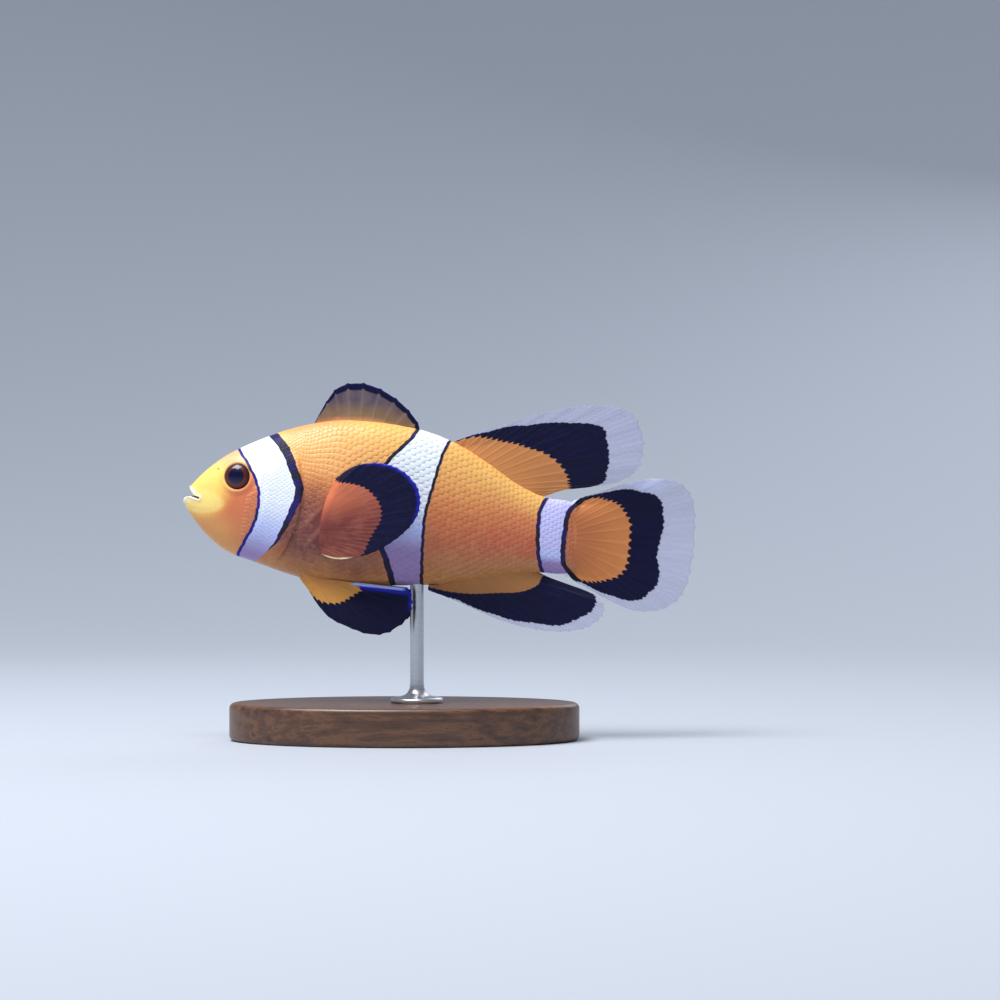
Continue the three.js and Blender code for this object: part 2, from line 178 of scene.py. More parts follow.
def lip_gap(x, z):
    """Rough distance behind the open mouth's outline, or from the slit where that is less."""
    edge = np.interp(z, MOUTH_EDGE_Z, MOUTH_EDGE_X)
    return np.minimum(np.abs(x - edge) * 0.75 + 2.0 * ease(np.abs(z - 0.6), 1.2, 2.4),
                      slit_gap(x, z))


def skin_at(along, around, lift=0.0):
    """Points on the finished skin, lifted by lift mm along its normal. The normal is the
    cross product of small steps along and round the bare body. Between the lips the skin is
    pressed back to the open mouth's outline, by the smooth maximum of the two x."""
    step = 1e-4
    base = loft(along, around)
    run = loft(np.clip(along + step, 0, 1), around) - loft(np.clip(along - step, 0, 1), around)
    turn = loft(along, around + step) - loft(along, around - step)
    normal = np.cross(run, turn)
    normal /= np.maximum(np.linalg.norm(normal, axis=-1, keepdims=True), 1e-12)
    p = base + normal * (relief(base) + lift)[..., None]
    x, z = p[..., 0], p[..., 2]
    deep = np.interp(z, MOUTH_EDGE_Z, MOUTH_EDGE_X)
    inside = (z > MOUTH_EDGE_Z[0]) & (z < MOUTH_EDGE_Z[-1]) & (x < 4)
    gape = 0.5 * (deep - x + np.sqrt((deep - x) ** 2 + 0.05**2)) * inside
    p[..., 0] = x + gape
    return p, gape


# Each white band lies between two curves of x over height. Behind and before it runs a
# black line. Heights of the given places are even steps from low to high.
BANDS = [
    dict(low=-9.0, high=12.0,
         front=[9.6, 10.9, 12.2, 12.65, 12.3, 10.65, 8.2, 5.6],
         rear=[12.6, 15.2, 16.45, 17.4, 18.05, 16.8, 15.1, 12.0],
         front_line=[0.5, 0.5, 0.5, 0.48, 0.46, 0.46, 0.46, 0.46],
         rear_line=[-0.6, 0.3, 0.85, 1.1, 1.3, 1.4, 1.35, 1.4]),
    dict(low=-11.0, high=16.0,
         front=[35.6, 34.6, 33.3, 31.4, 30.2, 30.2, 31.1, 33.0, 35.5, 37.2],
         rear=[39.1, 39.0, 38.8, 38.65, 38.6, 39.0, 39.55, 40.1, 41.0, 43.0],
         front_line=[0.9, 1.0, 0.9, 0.7, 0.6, 0.6, 0.6, 0.6, 0.6, 0.6],
         rear_line=[0.6, 0.55, 0.5, 0.5, 0.5, 0.5, 0.5, 0.5, 0.5, 0.5]),
    dict(low=-7.5, high=7.5,
         front=[59.8, 58.15, 57.5, 57.25, 57.4, 59.2],
         rear=[64.6, 61.45, 60.85, 60.9, 61.3, 64.0],
         front_line=[0.6, 0.6, 0.65, 0.65, 0.6, 0.6],
         rear_line=[0.8, 0.8, 0.8, 0.8, 0.8, 0.8]),
]


def band_gaps(p, bands=BANDS):
    """How far a point lies outside the nearest white band, and outside the black line round
    it, in mm; inside they are negative. An edge's gap is its x distance times the cosine of
    its slope, with a slow wobble so that no edge is ruled."""
    x, z = p[..., 0], p[..., 2]
    wobble = 0.05 * np.sin(2.9 * z + 0.7) + 0.035 * np.sin(6.1 * z + 1.9)
    white = np.full(x.shape, 9.0)
    ink = np.full(x.shape, 9.0)
    for band in bands:
        where = (z - band["low"]) / (band["high"] - band["low"])
        tall = (band["high"] - band["low"]) * 0.02
        front, rear = level(band["front"], where), level(band["rear"], where)
        lean_f = (level(band["front"], where + 0.01) - level(band["front"], where - 0.01)) / tall
        lean_r = (level(band["rear"], where + 0.01) - level(band["rear"], where - 0.01)) / tall
        before = (front - x + wobble) / np.sqrt(1 + lean_f**2)
        after = (x - rear + wobble) / np.sqrt(1 + lean_r**2)
        white = np.minimum(white, np.maximum(before, after))
        ink = np.minimum(ink, np.maximum(before - level(band["front_line"], where),
                                         after - level(band["rear_line"], where)))
    return white, ink


def grid_faces(rows, columns, wrap):
    """Quads of a rows x columns grid of vertices, and each corner's grid place. With wrap,
    the last column joins the first."""
    i, j = np.meshgrid(np.arange(rows - 1), np.arange(columns if wrap else columns - 1),
                       indexing="ij")
    ii = np.stack([i, i, i + 1, i + 1], axis=-1).reshape(-1, 4)
    jj = np.stack([j, j + 1, j + 1, j], axis=-1).reshape(-1, 4)
    return ii * columns + jj % columns, ii, jj


def turn_faces_out(mesh, points):
    """Turns all faces over if the volume that they close about the body's middle is negative:
    the sum over triangles of a . (b x c)."""
    mesh.calc_loop_triangles()
    corners = np.empty(len(mesh.loop_triangles) * 3, np.int32)
    mesh.loop_triangles.foreach_get("vertices", corners)
    a, b, c = (points.reshape(-1, 3) - BODY_MIDDLE)[corners.reshape(-1, 3).T]
    if np.einsum("ij,ij", a, np.cross(b, c)) < 0:
        mesh.flip_normals()


def make_piece(name, points, faces, corner_uv, marks, material, replaced):
    """A mesh from points in the fish frame, with its bake map and its colour marks, riding
    on the one body."""
    mesh = bpy.data.meshes.new(name)
    mesh.from_pydata(placed(points).reshape(-1, 3).tolist(), [], faces)
    for label, values in marks.items():
        field = mesh.attributes.new(label, "FLOAT", "POINT")
        field.data.foreach_set("value", np.asarray(values, np.float32).ravel())
    if corner_uv is not None:
        layer = mesh.uv_layers.new(name="OFBake")
        layer.data.foreach_set("uv", np.asarray(corner_uv, np.float32).ravel())
    turn_faces_out(mesh, points)
    mesh.shade_smooth()
    mesh.materials.append(material)
    piece = bpy.data.objects.new(name, mesh)
    bpy.context.collection.objects.link(piece)
    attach(piece, "root")
    if replaced:
        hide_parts(*replaced)
    return piece


def tint(red, green, blue):
    """Screen values 0 to 255 as linear colour."""
    c = np.array([red, green, blue]) / 255.0
    c = np.where(c <= 0.04045, c / 12.92, ((c + 0.055) / 1.055) ** 2.4)
    return (*c.tolist(), 1.0)


class Paint:
    """Short hands for wiring one material: each call adds a node and returns its output."""

    def __init__(self, name):
        self.material = bpy.data.materials.new(name)
        self.material.use_nodes = True
        self.tree = self.material.node_tree
        self.shader = self.tree.nodes["Principled BSDF"]

    def node(self, kind, **settings):
        made = self.tree.nodes.new(kind)
        for key, value in settings.items():
            setattr(made, key, value)
        return made

    def join(self, source, socket):
        if hasattr(source, "is_output"):
            self.tree.links.new(source, socket)
        else:
            socket.default_value = source

    def mark(self, label):
        return self.node("ShaderNodeAttribute", attribute_name=label).outputs["Fac"]

    def place(self):
        return self.node("ShaderNodeTexCoord").outputs["Object"]

    def stretched(self, scale, turn=(0, 0, 0), shift=(0, 0, 0)):
        made = self.node("ShaderNodeMapping")
        self.join(self.place(), made.inputs["Vector"])
        made.inputs["Location"].default_value = shift
        made.inputs["Rotation"].default_value = turn
        made.inputs["Scale"].default_value = scale
        return made.outputs["Vector"]

    def noise(self, scale, detail=3.0, rough=0.5, vector=None):
        made = self.node("ShaderNodeTexNoise")
        self.join(vector if vector is not None else self.place(), made.inputs["Vector"])
        made.inputs["Scale"].default_value = scale
        made.inputs["Detail"].default_value = detail
        made.inputs["Roughness"].default_value = rough
        return made.outputs["Fac"]

    def math(self, operation, first, second=0.5, third=0.5):
        made = self.node("ShaderNodeMath", operation=operation)
        for value, socket in zip((first, second, third), made.inputs):
            self.join(value, socket)
        return made.outputs["Value"]

    def span(self, value, low, high, to_low=0.0, to_high=1.0):
        made = self.node("ShaderNodeMapRange", interpolation_type="SMOOTHSTEP")
        for key, put in (("Value", value), ("From Min", low), ("From Max", high),
                         ("To Min", to_low), ("To Max", to_high)):
            self.join(put, made.inputs[key])
        return made.outputs["Result"]

    def mix(self, factor, first, second):
        made = self.node("ShaderNodeMix", data_type="RGBA")
        self.join(factor, made.inputs["Factor"])
        self.join(first, made.inputs[6])
        self.join(second, made.inputs[7])
        return made.outputs[2]

    def ramp(self, factor, stops, blend="EASE"):
        made = self.node("ShaderNodeValToRGB")
        self.join(factor, made.inputs["Fac"])
        made.color_ramp.interpolation = blend
        made.color_ramp.elements[0].position = stops[0][0]
        made.color_ramp.elements[1].position = stops[-1][0]
        for position, _ in stops[1:-1]:
            made.color_ramp.elements.new(position)
        for element, (_, colour) in zip(made.color_ramp.elements, stops):
            element.color = colour
        return made.outputs["Color"]

    def bump(self, height, distance, strength=1.0, normal=None):
        made = self.node("ShaderNodeBump")
        self.join(height, made.inputs["Height"])
        made.inputs["Distance"].default_value = distance
        made.inputs["Strength"].default_value = strength
        if normal is not None:
            self.join(normal, made.inputs["Normal"])
        return made.outputs["Normal"]

    def finish(self, colour=None, rough=None, normal=None, alpha=None, **constants):
        for key, value in (("Base Color", colour), ("Roughness", rough), ("Normal", normal),
                           ("Alpha", alpha)):
            if value is not None:
                self.join(value, self.shader.inputs[key])
        for key, value in constants.items():
            self.shader.inputs[key.replace("_", " ")].default_value = value
        return self.material


# skin colours: the ramp from the back's orange down to the low flank's is partly painted light from above
BACK_ORANGE = tint(252, 190, 104)
SHOULDER_GOLD = tint(255, 184, 112)
UPPER_ORANGE = tint(240, 154, 88)
FLANK_ORANGE = tint(206, 106, 64)
LOW_ORANGE = tint(190, 98, 59)
BELLY_OCHRE = tint(192, 129, 74)
FACE_YELLOW = tint(254, 218, 112)
BROW_PEACH = tint(240, 180, 134)
NAPE_ORANGE = tint(242, 158, 90)
CHEEK_BROWN = tint(214, 122, 82)
LIP_CREAM = tint(253, 242, 218)
JAW_PALE = tint(255, 226, 134)
TAIL_ORANGE = tint(188, 114, 72)
BAND_WHITE = tint(240, 246, 255)
# painted shade on the white bands towards the belly: sky blue, then lilac
BAND_SHADE_SKY = tint(196, 206, 255)
BAND_SHADE_LILAC = tint(156, 130, 185)
# painted shade on the flank behind the gill cover, and painted shadow under the pectoral fin
SHADE_BROWN = tint(112, 48, 52)
THROAT_GOLD = tint(232, 162, 92)
# painted highlight on the crests of the folds on the pectoral fin's lobe
FOLD_CREST_HIGHLIGHT = tint(226, 156, 128)
STEM_BLUE = tint(192, 184, 252)
STEM_RUST = tint(204, 88, 66)
LINE_BLACK = tint(14, 10, 34)
LINE_BLUE = tint(30, 12, 152)
LINE_ROUGH = 0.85
# painted shade inside the open mouth and in the slit before its corner
MOUTH_SHADE = tint(52, 22, 20)


def body_colour(paint):
    """Orange that runs from a bright back over a deep flank to an ochre belly, partly the fish's
    own colour and partly painted light from above, a yellow face with a browner cheek that
    turns to painted shade low down, painted shade behind the gill cover and under the pectoral
    fin, and on it the white bands, with painted shade towards the belly, and their black lines."""
    patchy = paint.math("MULTIPLY", paint.math("SUBTRACT", paint.noise(140, 3), 0.5), 0.12)
    height = paint.math("ADD", paint.mark("height"), patchy)
    # by height: the lighter back is partly painted light and the deeper lower flank partly painted shade
    orange = paint.ramp(paint.math("MULTIPLY_ADD", height, 0.5, 0.5), [
        (0.0, BELLY_OCHRE), (0.07, BELLY_OCHRE), (0.24, LOW_ORANGE), (0.45, FLANK_ORANGE),
        (0.66, UPPER_ORANGE), (0.86, BACK_ORANGE), (1.0, BACK_ORANGE)], "B_SPLINE")
    orange = paint.mix(paint.mark("tail"), orange, TAIL_ORANGE)
    orange = paint.mix(paint.mark("rust"), orange, STEM_RUST)
    orange = paint.mix(paint.mark("shoulder"), orange, SHOULDER_GOLD)
    # painted shade behind the gill cover and the pectoral fin's painted shadow on the belly
    orange = paint.mix(paint.mark("shade"), orange, SHADE_BROWN)
    orange = paint.mix(paint.mark("throat"), orange, THROAT_GOLD)
    # the cheek's brown: the fish's own colour under the eye, and painted shade low down towards the gill
    # cover
    orange = paint.mix(paint.mark("cheek"), orange, CHEEK_BROWN)
    orange = paint.mix(paint.mark("face"), orange, FACE_YELLOW)
    orange = paint.mix(paint.mark("brow"), orange, BROW_PEACH)
    orange = paint.mix(paint.mark("nape"), orange, NAPE_ORANGE)
    orange = paint.mix(paint.mark("jaw"), orange, JAW_PALE)
    speckle = paint.span(paint.noise(2600, 2), 0.35, 0.75, 0.0, 0.09)
    orange = paint.mix(speckle, orange, tint(176, 84, 40))
    # painted highlight: paler pink on the crests of the lobe's folds
    orange = paint.mix(paint.mark("folds"), orange, FOLD_CREST_HIGHLIGHT)
    orange = paint.mix(paint.mark("lips"), orange, LIP_CREAM)
    white = paint.mix(paint.mark("stem"), BAND_WHITE, STEM_BLUE)
    # painted shade on the white bands: sky blue, then lilac towards the belly
    white = paint.mix(paint.mark("sky_shade"), white, BAND_SHADE_SKY)
    white = paint.mix(paint.mark("lilac_shade"), white, BAND_SHADE_LILAC)
    blue = paint.math("MULTIPLY", paint.mark("blue"), 0.8)
    black = paint.mix(paint.span(paint.noise(420, 2), 0.4, 0.7, blue, 0.35), LINE_BLACK, LINE_BLUE)
    inked = paint.mix(paint.span(paint.mark("ink_gap"), -0.08, 0.06), black, orange)
    banded = paint.mix(paint.span(paint.mark("white_gap"), -0.06, 0.04), white, inked)
    return banded


def matt_lines(paint, rough):
    """The roughness of wet skin, raised to LINE_ROUGH on the black lines, which are matt."""
    line = paint.math("MULTIPLY", paint.span(paint.mark("ink_gap"), -0.08, 0.06, 1.0, 0.0),
                      paint.span(paint.mark("white_gap"), -0.06, 0.04))
    return paint.math("MAXIMUM", rough, paint.math("MULTIPLY", line, LINE_ROUGH))


def skin_material():
    paint = Paint("fish_skin")
    # painted shade: the open mouth and the slit before its corner are painted dark
    colour = paint.mix(paint.span(paint.mark("mouth"), 0.12, 0.5), body_colour(paint), MOUTH_SHADE)
    fine = paint.noise(5200, 2)
    soft = paint.noise(900, 3)
    normal = paint.bump(fine, 0.00001, 0.5, paint.bump(soft, 0.00004, 0.35))
    rough = paint.span(soft, 0.3, 0.7, 0.36, 0.5)
    return paint.finish(colour, matt_lines(paint, rough), normal, Subsurface_Weight=0.12,
                        Subsurface_Radius=(1.0, 0.4, 0.2), Subsurface_Scale=0.0007,
                        Specular_IOR_Level=0.42, Coat_Weight=0.12, Coat_Roughness=0.3)


HEAD_END = 0.36
skin_rows = np.concatenate([
    np.linspace(0.0, HEAD_END, 210)[:-1] ** 1.0,
    np.linspace(HEAD_END, 1.0, 190),
])
skin_columns = 240
along, around = np.meshgrid(skin_rows, np.arange(skin_columns) * 2 * np.pi / skin_columns,
                            indexing="ij")
skin_points, skin_gape = skin_at(along, around)


def body_marks(p, gape, around):
    """Colour fields of the skin: bands, height on the body, yellow face, lips, and the painted
    shade in the mouth, behind the gill cover, under the pectoral fin and on the bands.
    """
    x, z = p[..., 0], p[..., 2]
    white, ink = band_gaps(p)
    keel = np.maximum(np.abs(p[..., 1]) - 0.9, np.abs(x - 40.6) - 1.6)
    ink = np.where(z < -8, np.minimum(ink, keel), ink)
    height = np.cos(around)
    low_lip = (1 - ease(z, 0.2, 0.7)) * (1 - ease(x, 0.9, 2.6))
    lips = (1 - ease(lip_gap(x, z) - 0.4 * low_lip, 0.1, 0.85)) * (1 - ease(x, 2.7, 3.5))
    jaw = 1 - ease(np.hypot((x - 2.8) / 4.2, (z + 0.1) / 2.0), 0.75, 1.1)
    snout = 1 - ease(np.hypot(x, (z - 3.2) * 0.8), 5.0, 9.0)
    head = 1 - ease(x, 11, 14)
    # the cheek: the fish's own brown under the eye, and painted shade where it reaches down towards the
    # gill cover
    cheek = 1 - ease(np.hypot((x - 11.4) / 4.2, (z + 1.0) / 6.6), 0.4, 1.2)
    nape = (1 - ease(x, 20, 30)) * ease(height, 0.72, 0.95) * ease(x, 14, 17)
    shoulder = 1 - ease(np.hypot((x - 24.5) / 9, (z - 9) / 4.5), 0.3, 1.1)
    # painted shade on the flank behind the gill cover, and a painted shadow of the pectoral fin on the
    # belly
    shade_tall = np.where(z > -3.4, 9.0, 6.0)
    shade = 1 - ease(np.hypot((x - 21.0) / 7.0, (z + 3.4) / shade_tall), 0.35, 1.2)
    pectoral_shadow = 1 - ease(np.hypot((x - 28.5) / 6.5, (z + 7.4) / 3.6), 0.3, 1.2)
    # painted shade on the white bands: towards the belly, below these heights, they turn sky blue, then
    # lilac
    band_shade_low = -0.95 + 0.35 * ease(x, 20, 26) - 0.15 * ease(x, 46, 54)
    band_shade_high = 0.0 + 0.1 * ease(x, 20, 26) - 0.4 * ease(x, 46, 54)
    band_shade = 1 - np.clip((height - band_shade_low) / (band_shade_high - band_shade_low), 0, 1)
    lilac_shade = ease(band_shade, 0.45, 1.0)
    lobe = np.hypot((x - FIN_LOBE[0]) / 2.4, (z - FIN_LOBE[1]) / 4.6)
    # the folds' crests, where the relief stands highest, get a painted highlight
    folds = ease(np.sin(FOLD_RUN * (x - 0.8 * z)), 0.2, 1.0) * (1 - ease(lobe, 0.5, 1.15))
    return dict(white_gap=white, ink_gap=ink, height=height,
                face=0.9 * snout * ease(z, -4.5, 0.0), jaw=0.8 * jaw,
                brow=0.85 * head * ease(z, 4.8, 7.6), nape=0.8 * nape,
                cheek=head * cheek * 0.85,
                tail=ease(x, 58.5, 61.5), stem=0.75 * ease(x, 52, 56),
                rust=0.42 * ease(x, 44, 54) * ease(height, -0.8, -0.3) * (1 - ease(height, 0.2, 0.8)),
                shoulder=0.6 * shoulder, shade=np.maximum(0.95 * shade, 0.6 * pectoral_shadow),
                throat=0.85 * head * (1 - ease(z, -4.5, 0.5)), folds=0.2 * folds,
                sky_shade=ease(band_shade, 0.0, 0.55), lilac_shade=lilac_shade,
                lips=0.8 * lips, blue=1 - ease(x, 12.6, 13.6),
                # mouth: where painted shade darkens the open mouth and the slit
                mouth=np.maximum(gape, 0) + 0.9 * (1 - ease(slit_gap(x, z), 0.05, 0.2)))


nose = skin_points[0].mean(axis=0)
nose[0] = skin_points[0, :, 0].max()
stern = skin_points[-1].mean(axis=0) + [0.3, 0, 0]
quads, ii, jj = grid_faces(len(skin_rows), skin_columns, wrap=True)
ring = np.arange(skin_columns)
last = (len(skin_rows) - 1) * skin_columns
ends = len(skin_rows) * skin_columns
nose_fan = np.stack([np.full_like(ring, ends), (ring + 1) % skin_columns, ring], axis=-1)
tail_fan = np.stack([np.full_like(ring, ends + 1), last + ring, last + (ring + 1) % skin_columns],
                    axis=-1)


def bake_place(row, column):
    """The skin unwrapped: along the body across the map, round the body up it."""
    return 0.02 + 0.96 * row, 0.02 + 0.96 * column


quad_uv = np.stack(bake_place(skin_rows[ii], jj / skin_columns), axis=-1)
step_uv = (ring + 0.5) / skin_columns
nose_uv = np.stack([
    np.stack([np.full(skin_columns, 0.005), 0.02 + 0.96 * step_uv], -1),
    np.stack([np.full(skin_columns, 0.02), 0.02 + 0.96 * (ring + 1) / skin_columns], -1),
    np.stack([np.full(skin_columns, 0.02), 0.02 + 0.96 * ring / skin_columns], -1)], axis=1)
tail_uv = np.stack([
    np.stack([np.full(skin_columns, 0.995), 0.02 + 0.96 * step_uv], -1),
    np.stack([np.full(skin_columns, 0.98), 0.02 + 0.96 * ring / skin_columns], -1),
    np.stack([np.full(skin_columns, 0.98), 0.02 + 0.96 * (ring + 1) / skin_columns], -1)], axis=1)
skin_marks = {
    label: np.append(values.ravel(), [values[0].mean(), values[-1].mean()])
    for label, values in body_marks(skin_points, skin_gape, around).items()
}
make_piece(
    "skin",
    np.vstack([skin_points.reshape(-1, 3), nose, stern]),
    quads.tolist() + nose_fan.tolist() + tail_fan.tolist(),
    np.vstack([quad_uv.reshape(-1, 2), nose_uv.reshape(-1, 2), tail_uv.reshape(-1, 2)]),
    skin_marks, skin_material(),
    ["head", "lower_jaw", "gill_cover_left", "gill_cover_right", "trunk", "tail_stem"])

# ---------------------------------------------------------------- scales
# The scales: thin bony plates rooted in the skin, each lapping over the next one behind it,
# in staggered columns from the cheek to the tail. They shrink towards the cheek and the
# tail stem, and stop short of the lips, brow, throat and eyes, which are bare.

SCALE_SIDE = 7
SCALE_COLUMNS_FROM = 9.8
SCALE_COLUMNS_TO = 61.6
rng = np.random.default_rng(11)


def scale_pitch(x):
    """Exposed length of a scale at x: small on the cheek, full size on the flank, smaller
    on the tail stem."""
    return 0.50 + 0.42 * ease(x, 17.0, 25.0) - 0.26 * ease(x, 42.0, 62.0)


def column_places():
    """x of each scale column: each step is the pitch where it starts."""
    places = [SCALE_COLUMNS_FROM]
    while places[-1] < SCALE_COLUMNS_TO:
        places.append(places[-1] + 0.92 * float(scale_pitch(np.array(places[-1]))))
    return np.array(places)


lateral_along = np.linspace(0, 1, 2000)
lateral_x = loft(lateral_along, np.full(2000, np.pi / 2))[:, 0]


def scale_roots():
    """Roots of all scales on one side: for each column, rows at even steps of arc length
    from the side's middle, every second column moved by half a row."""
    angles = np.linspace(0, np.pi, 240)
    found = []
    for number, x in enumerate(column_places()):
        at = np.interp(x, lateral_x, lateral_along)
        ring = loft(np.full(240, at), angles)
        arc = np.append(0, np.cumsum(np.linalg.norm(np.diff(ring, axis=0), axis=1)))
        pitch = 1.22 * float(scale_pitch(np.array(x)))
        middle = np.interp(np.pi / 2, angles, arc)
        rows = np.arange(-60, 61) + 0.5 * (number % 2)
        reach = middle + rows * pitch
        rows = reach[(reach > 0.25 * pitch) & (reach < arc[-1] - 0.25 * pitch)]
        around = np.interp(rows, arc, angles)
        found.append(np.stack([np.full_like(around, at), around,
                               np.full_like(around, x)], axis=-1))
    return np.concatenate(found)


def bare(p):
    """True where the fish has no scales: brow and throat in front, round the eye, and on the
    pectoral fin's lobe."""
    x, z = p[..., 0], p[..., 2]
    eye = np.hypot(x - EYE_CENTRE[0], z - EYE_CENTRE[2])
    brow = z > 4.5 + 0.35 * (x - 9.8)
    throat = z < -5.2 - 0.25 * (x - 9.8)
    lobe = np.hypot((x - FIN_LOBE[0] - 0.4) / 2.2, (z - FIN_LOBE[1]) / 4.4)
    return (eye < EYE_RIM + 1.1) | ((x < 14.5) & (brow | throat)) | (x < 9.8) | (lobe < 1)


def scale_shell(roots, side):
    """Every scale as one small grid. A square (p, q) in -1..1 is bent to a disc by
    x = p sqrt(1 - q^2 / 2), y = q sqrt(1 - p^2 / 2), laid along the body behind its root,
    raised from the root to the free rear edge and turned down at its rim."""
    lines = np.array([-1.0, -0.9, -0.45, 0.0, 0.45, 0.9, 1.0])
    q, p = np.meshgrid(lines, lines)
    disc_x, disc_y = p * np.sqrt(1 - q * q / 2), q * np.sqrt(1 - p * p / 2)
    rim = (np.abs(p) == 1) | (np.abs(q) == 1)
    at, turn, x = roots[:, 0], roots[:, 1], roots[:, 2]
    around = turn if side > 0 else 2 * np.pi - turn
    pitch = scale_pitch(x)
    step = 1e-3
    run = np.linalg.norm(loft(at + step, around) - loft(at - step, around), axis=-1) / (2 * step)
    sweep = np.linalg.norm(loft(at, around + step) - loft(at, around - step), axis=-1) / (2 * step)
    size = rng.uniform(0.95, 1.05, len(roots))
    half_long = (1.12 * pitch * size)[:, None, None]
    half_wide = (0.72 * pitch * size)[:, None, None]
    lean = rng.normal(0, 0.05, len(roots))[:, None, None]
    back = (disc_x + 1) * half_long
    out = disc_y * half_wide + lean * back
    wear = rng.uniform(0.9, 1.1, len(roots))[:, None, None]
    thick = 0.044 * pitch[:, None, None] * wear * (0.45 + 0.35 * ease(x, 24, 42))[:, None, None]
    lift = thick * (0.95 * (disc_x + 1) - 0.55) + 0.02 * (1 - disc_y**2) * pitch[:, None, None]
    lift = np.where(rim, lift - 0.9 * thick - 0.015, lift)
    a = np.clip(at[:, None, None] + back / run[:, None, None], 0, 1)
    b = around[:, None, None] + side * out / sweep[:, None, None]
    points, _ = skin_at(a, b, np.minimum(lift, COAT_DEPTH))
    return points, a, b, disc_x, disc_y


roots = scale_roots()
root_points, _ = skin_at(roots[:, 0], roots[:, 1])
roots = roots[~bare(root_points)]
cell, _, _ = grid_faces(SCALE_SIDE, SCALE_SIDE, wrap=False)
first_column, last_column = roots[:, 0].min(), roots[:, 0].max()


def scale_material():
    paint = Paint("fish_scales")
    colour = body_colour(paint)
    edge = paint.span(paint.mark("free_edge"), 0.55, 1.0, 0.0, 0.16)
    darker = paint.mix(edge, colour, tint(150, 84, 60))
    inked = paint.span(paint.mark("white_gap"), -0.3, 0.0, 0.0, 1.0)
    colour = paint.mix(inked, colour, darker)
    pale = paint.span(paint.mark("tone"), 0.0, 1.0, 0.0, 0.09)
    colour = paint.mix(pale, colour, tint(250, 200, 130))
    colour = paint.mix(paint.span(paint.mark("ink_gap"), -0.07, 0.05), body_colour(paint), colour)
    fine = paint.noise(4200, 2)
    rough = paint.span(fine, 0.3, 0.7, 0.34, 0.48)
    return paint.finish(colour, matt_lines(paint, rough), paint.bump(fine, 0.00001, 0.5),
                        Subsurface_Weight=0.08, Subsurface_Radius=(1.0, 0.4, 0.2),
                        Subsurface_Scale=0.0006, Specular_IOR_Level=0.45,
                        Coat_Weight=0.15, Coat_Roughness=0.28)


scale_finish = scale_material()
for side, word in ((-1, "left"), (1, "right")):
    points, a, b, disc_x, disc_y = scale_shell(roots, side)
    count = len(roots)
    faces = (cell[None] + (np.arange(count) * SCALE_SIDE**2)[:, None, None]).reshape(-1, 4)
    marks = body_marks(points, np.zeros(points.shape[:-1]), b)
    patch = 0.0014
    root_u, root_v = bake_place((roots[:, 0] - first_column) / (last_column - first_column),
                                roots[:, 1] / np.pi)
    u = root_u[:, None, None] + patch * disc_x
    v = root_v[:, None, None] + patch * disc_y
    uv = np.stack([u, v], axis=-1).reshape(-1, 2)[faces]
    tone = np.broadcast_to(rng.uniform(0, 1, count)[:, None, None], u.shape)
    marks.update(tone=tone, free_edge=np.broadcast_to(disc_x, u.shape))
    del marks["mouth"]
    make_piece(f"scales_{word}", points, faces.tolist(), uv, marks, scale_finish, [])

# ---------------------------------------------------------------- eyes
# Each eye: a glossy glass lens with a dark reddish-brown iris round a blue-black pupil, set
# in the skin's rim and turned a little forwards and upwards. The gloss is a clear coat.

EYE_RADIUS = 2.15
EYE_HALF_DEPTH = 1.1
EYE_FORWARD = np.radians(12)
EYE_UPWARD = np.radians(6)


def eye_ball(side, radius, depth, rows=40, columns=72):
    """A lens: rings of latitude from the front pole to the back pole about the y axis,
    (r sin a cos b, depth cos a, r sin a sin b), turned outward and moved to the eye."""
    lat, lon = np.meshgrid(np.linspace(0, np.pi, rows + 2)[1:-1],
                           np.arange(columns) * 2 * np.pi / columns, indexing="ij")
    local = np.stack([radius * np.sin(lat) * np.cos(lon),
                      side * depth * np.cos(lat),
                      radius * np.sin(lat) * np.sin(lon)], axis=-1)
    poles = np.array([[0, side * depth, 0], [0, -side * depth, 0]])
    points = np.vstack([local.reshape(-1, 3), poles])
    turn = np.array(Euler((side * EYE_UPWARD, 0, side * EYE_FORWARD), "XYZ").to_matrix())
    points = points @ turn.T + EYE_CENTRE * [1, side, 1]
    quads, ii, jj = grid_faces(rows, columns, wrap=True)
    ring = np.arange(columns)
    end = rows * columns
    after = (ring + 1) % columns
    front = np.stack([np.full(columns, end), after, ring], -1)
    rear = np.stack([np.full(columns, end + 1), (rows - 1) * columns + ring,
                     (rows - 1) * columns + after], -1)
    reach = np.append(np.sin(lat).ravel(), [0, 0])
    behind = np.append((lat > np.pi / 2).ravel() * 1.5, [0, 1.5])
    return points, [*quads.tolist(), *front.tolist(), *rear.tolist()], dict(ring=np.maximum(reach, behind))


def iris_material():
    paint = Paint("eye_iris")
    ring = paint.mark("ring")
    wave = paint.noise(3200, 4, 0.6)
    streak = paint.math("ADD", ring, paint.math("MULTIPLY", paint.math("SUBTRACT", wave, 0.5), 0.16))
    colour = paint.ramp(streak, [
        (0.0, tint(9, 10, 50)), (0.50, tint(10, 10, 50)), (0.57, tint(26, 9, 24)),
        (0.64, tint(96, 34, 32)), (0.78, tint(72, 24, 26)), (0.92, tint(28, 10, 16)),
        (1.0, tint(20, 9, 12))])
    rough = paint.span(ring, 0.5, 0.9, 0.18, 0.42)
    height = paint.math("MULTIPLY", wave, paint.span(ring, 0.54, 0.64))
    return paint.finish(colour, rough, paint.bump(height, 0.00005, 0.5),
                        Specular_IOR_Level=0.2, Coat_Weight=1.0, Coat_Roughness=0.02, Coat_IOR=1.36)


iris = iris_material()
for side, word in ((-1, "left"), (1, "right")):
    points, faces, marks = eye_ball(side, EYE_RADIUS, EYE_HALF_DEPTH)
    make_piece(f"eye_{word}_ball", points, faces, None, marks, iris, [f"eye_{word}"])

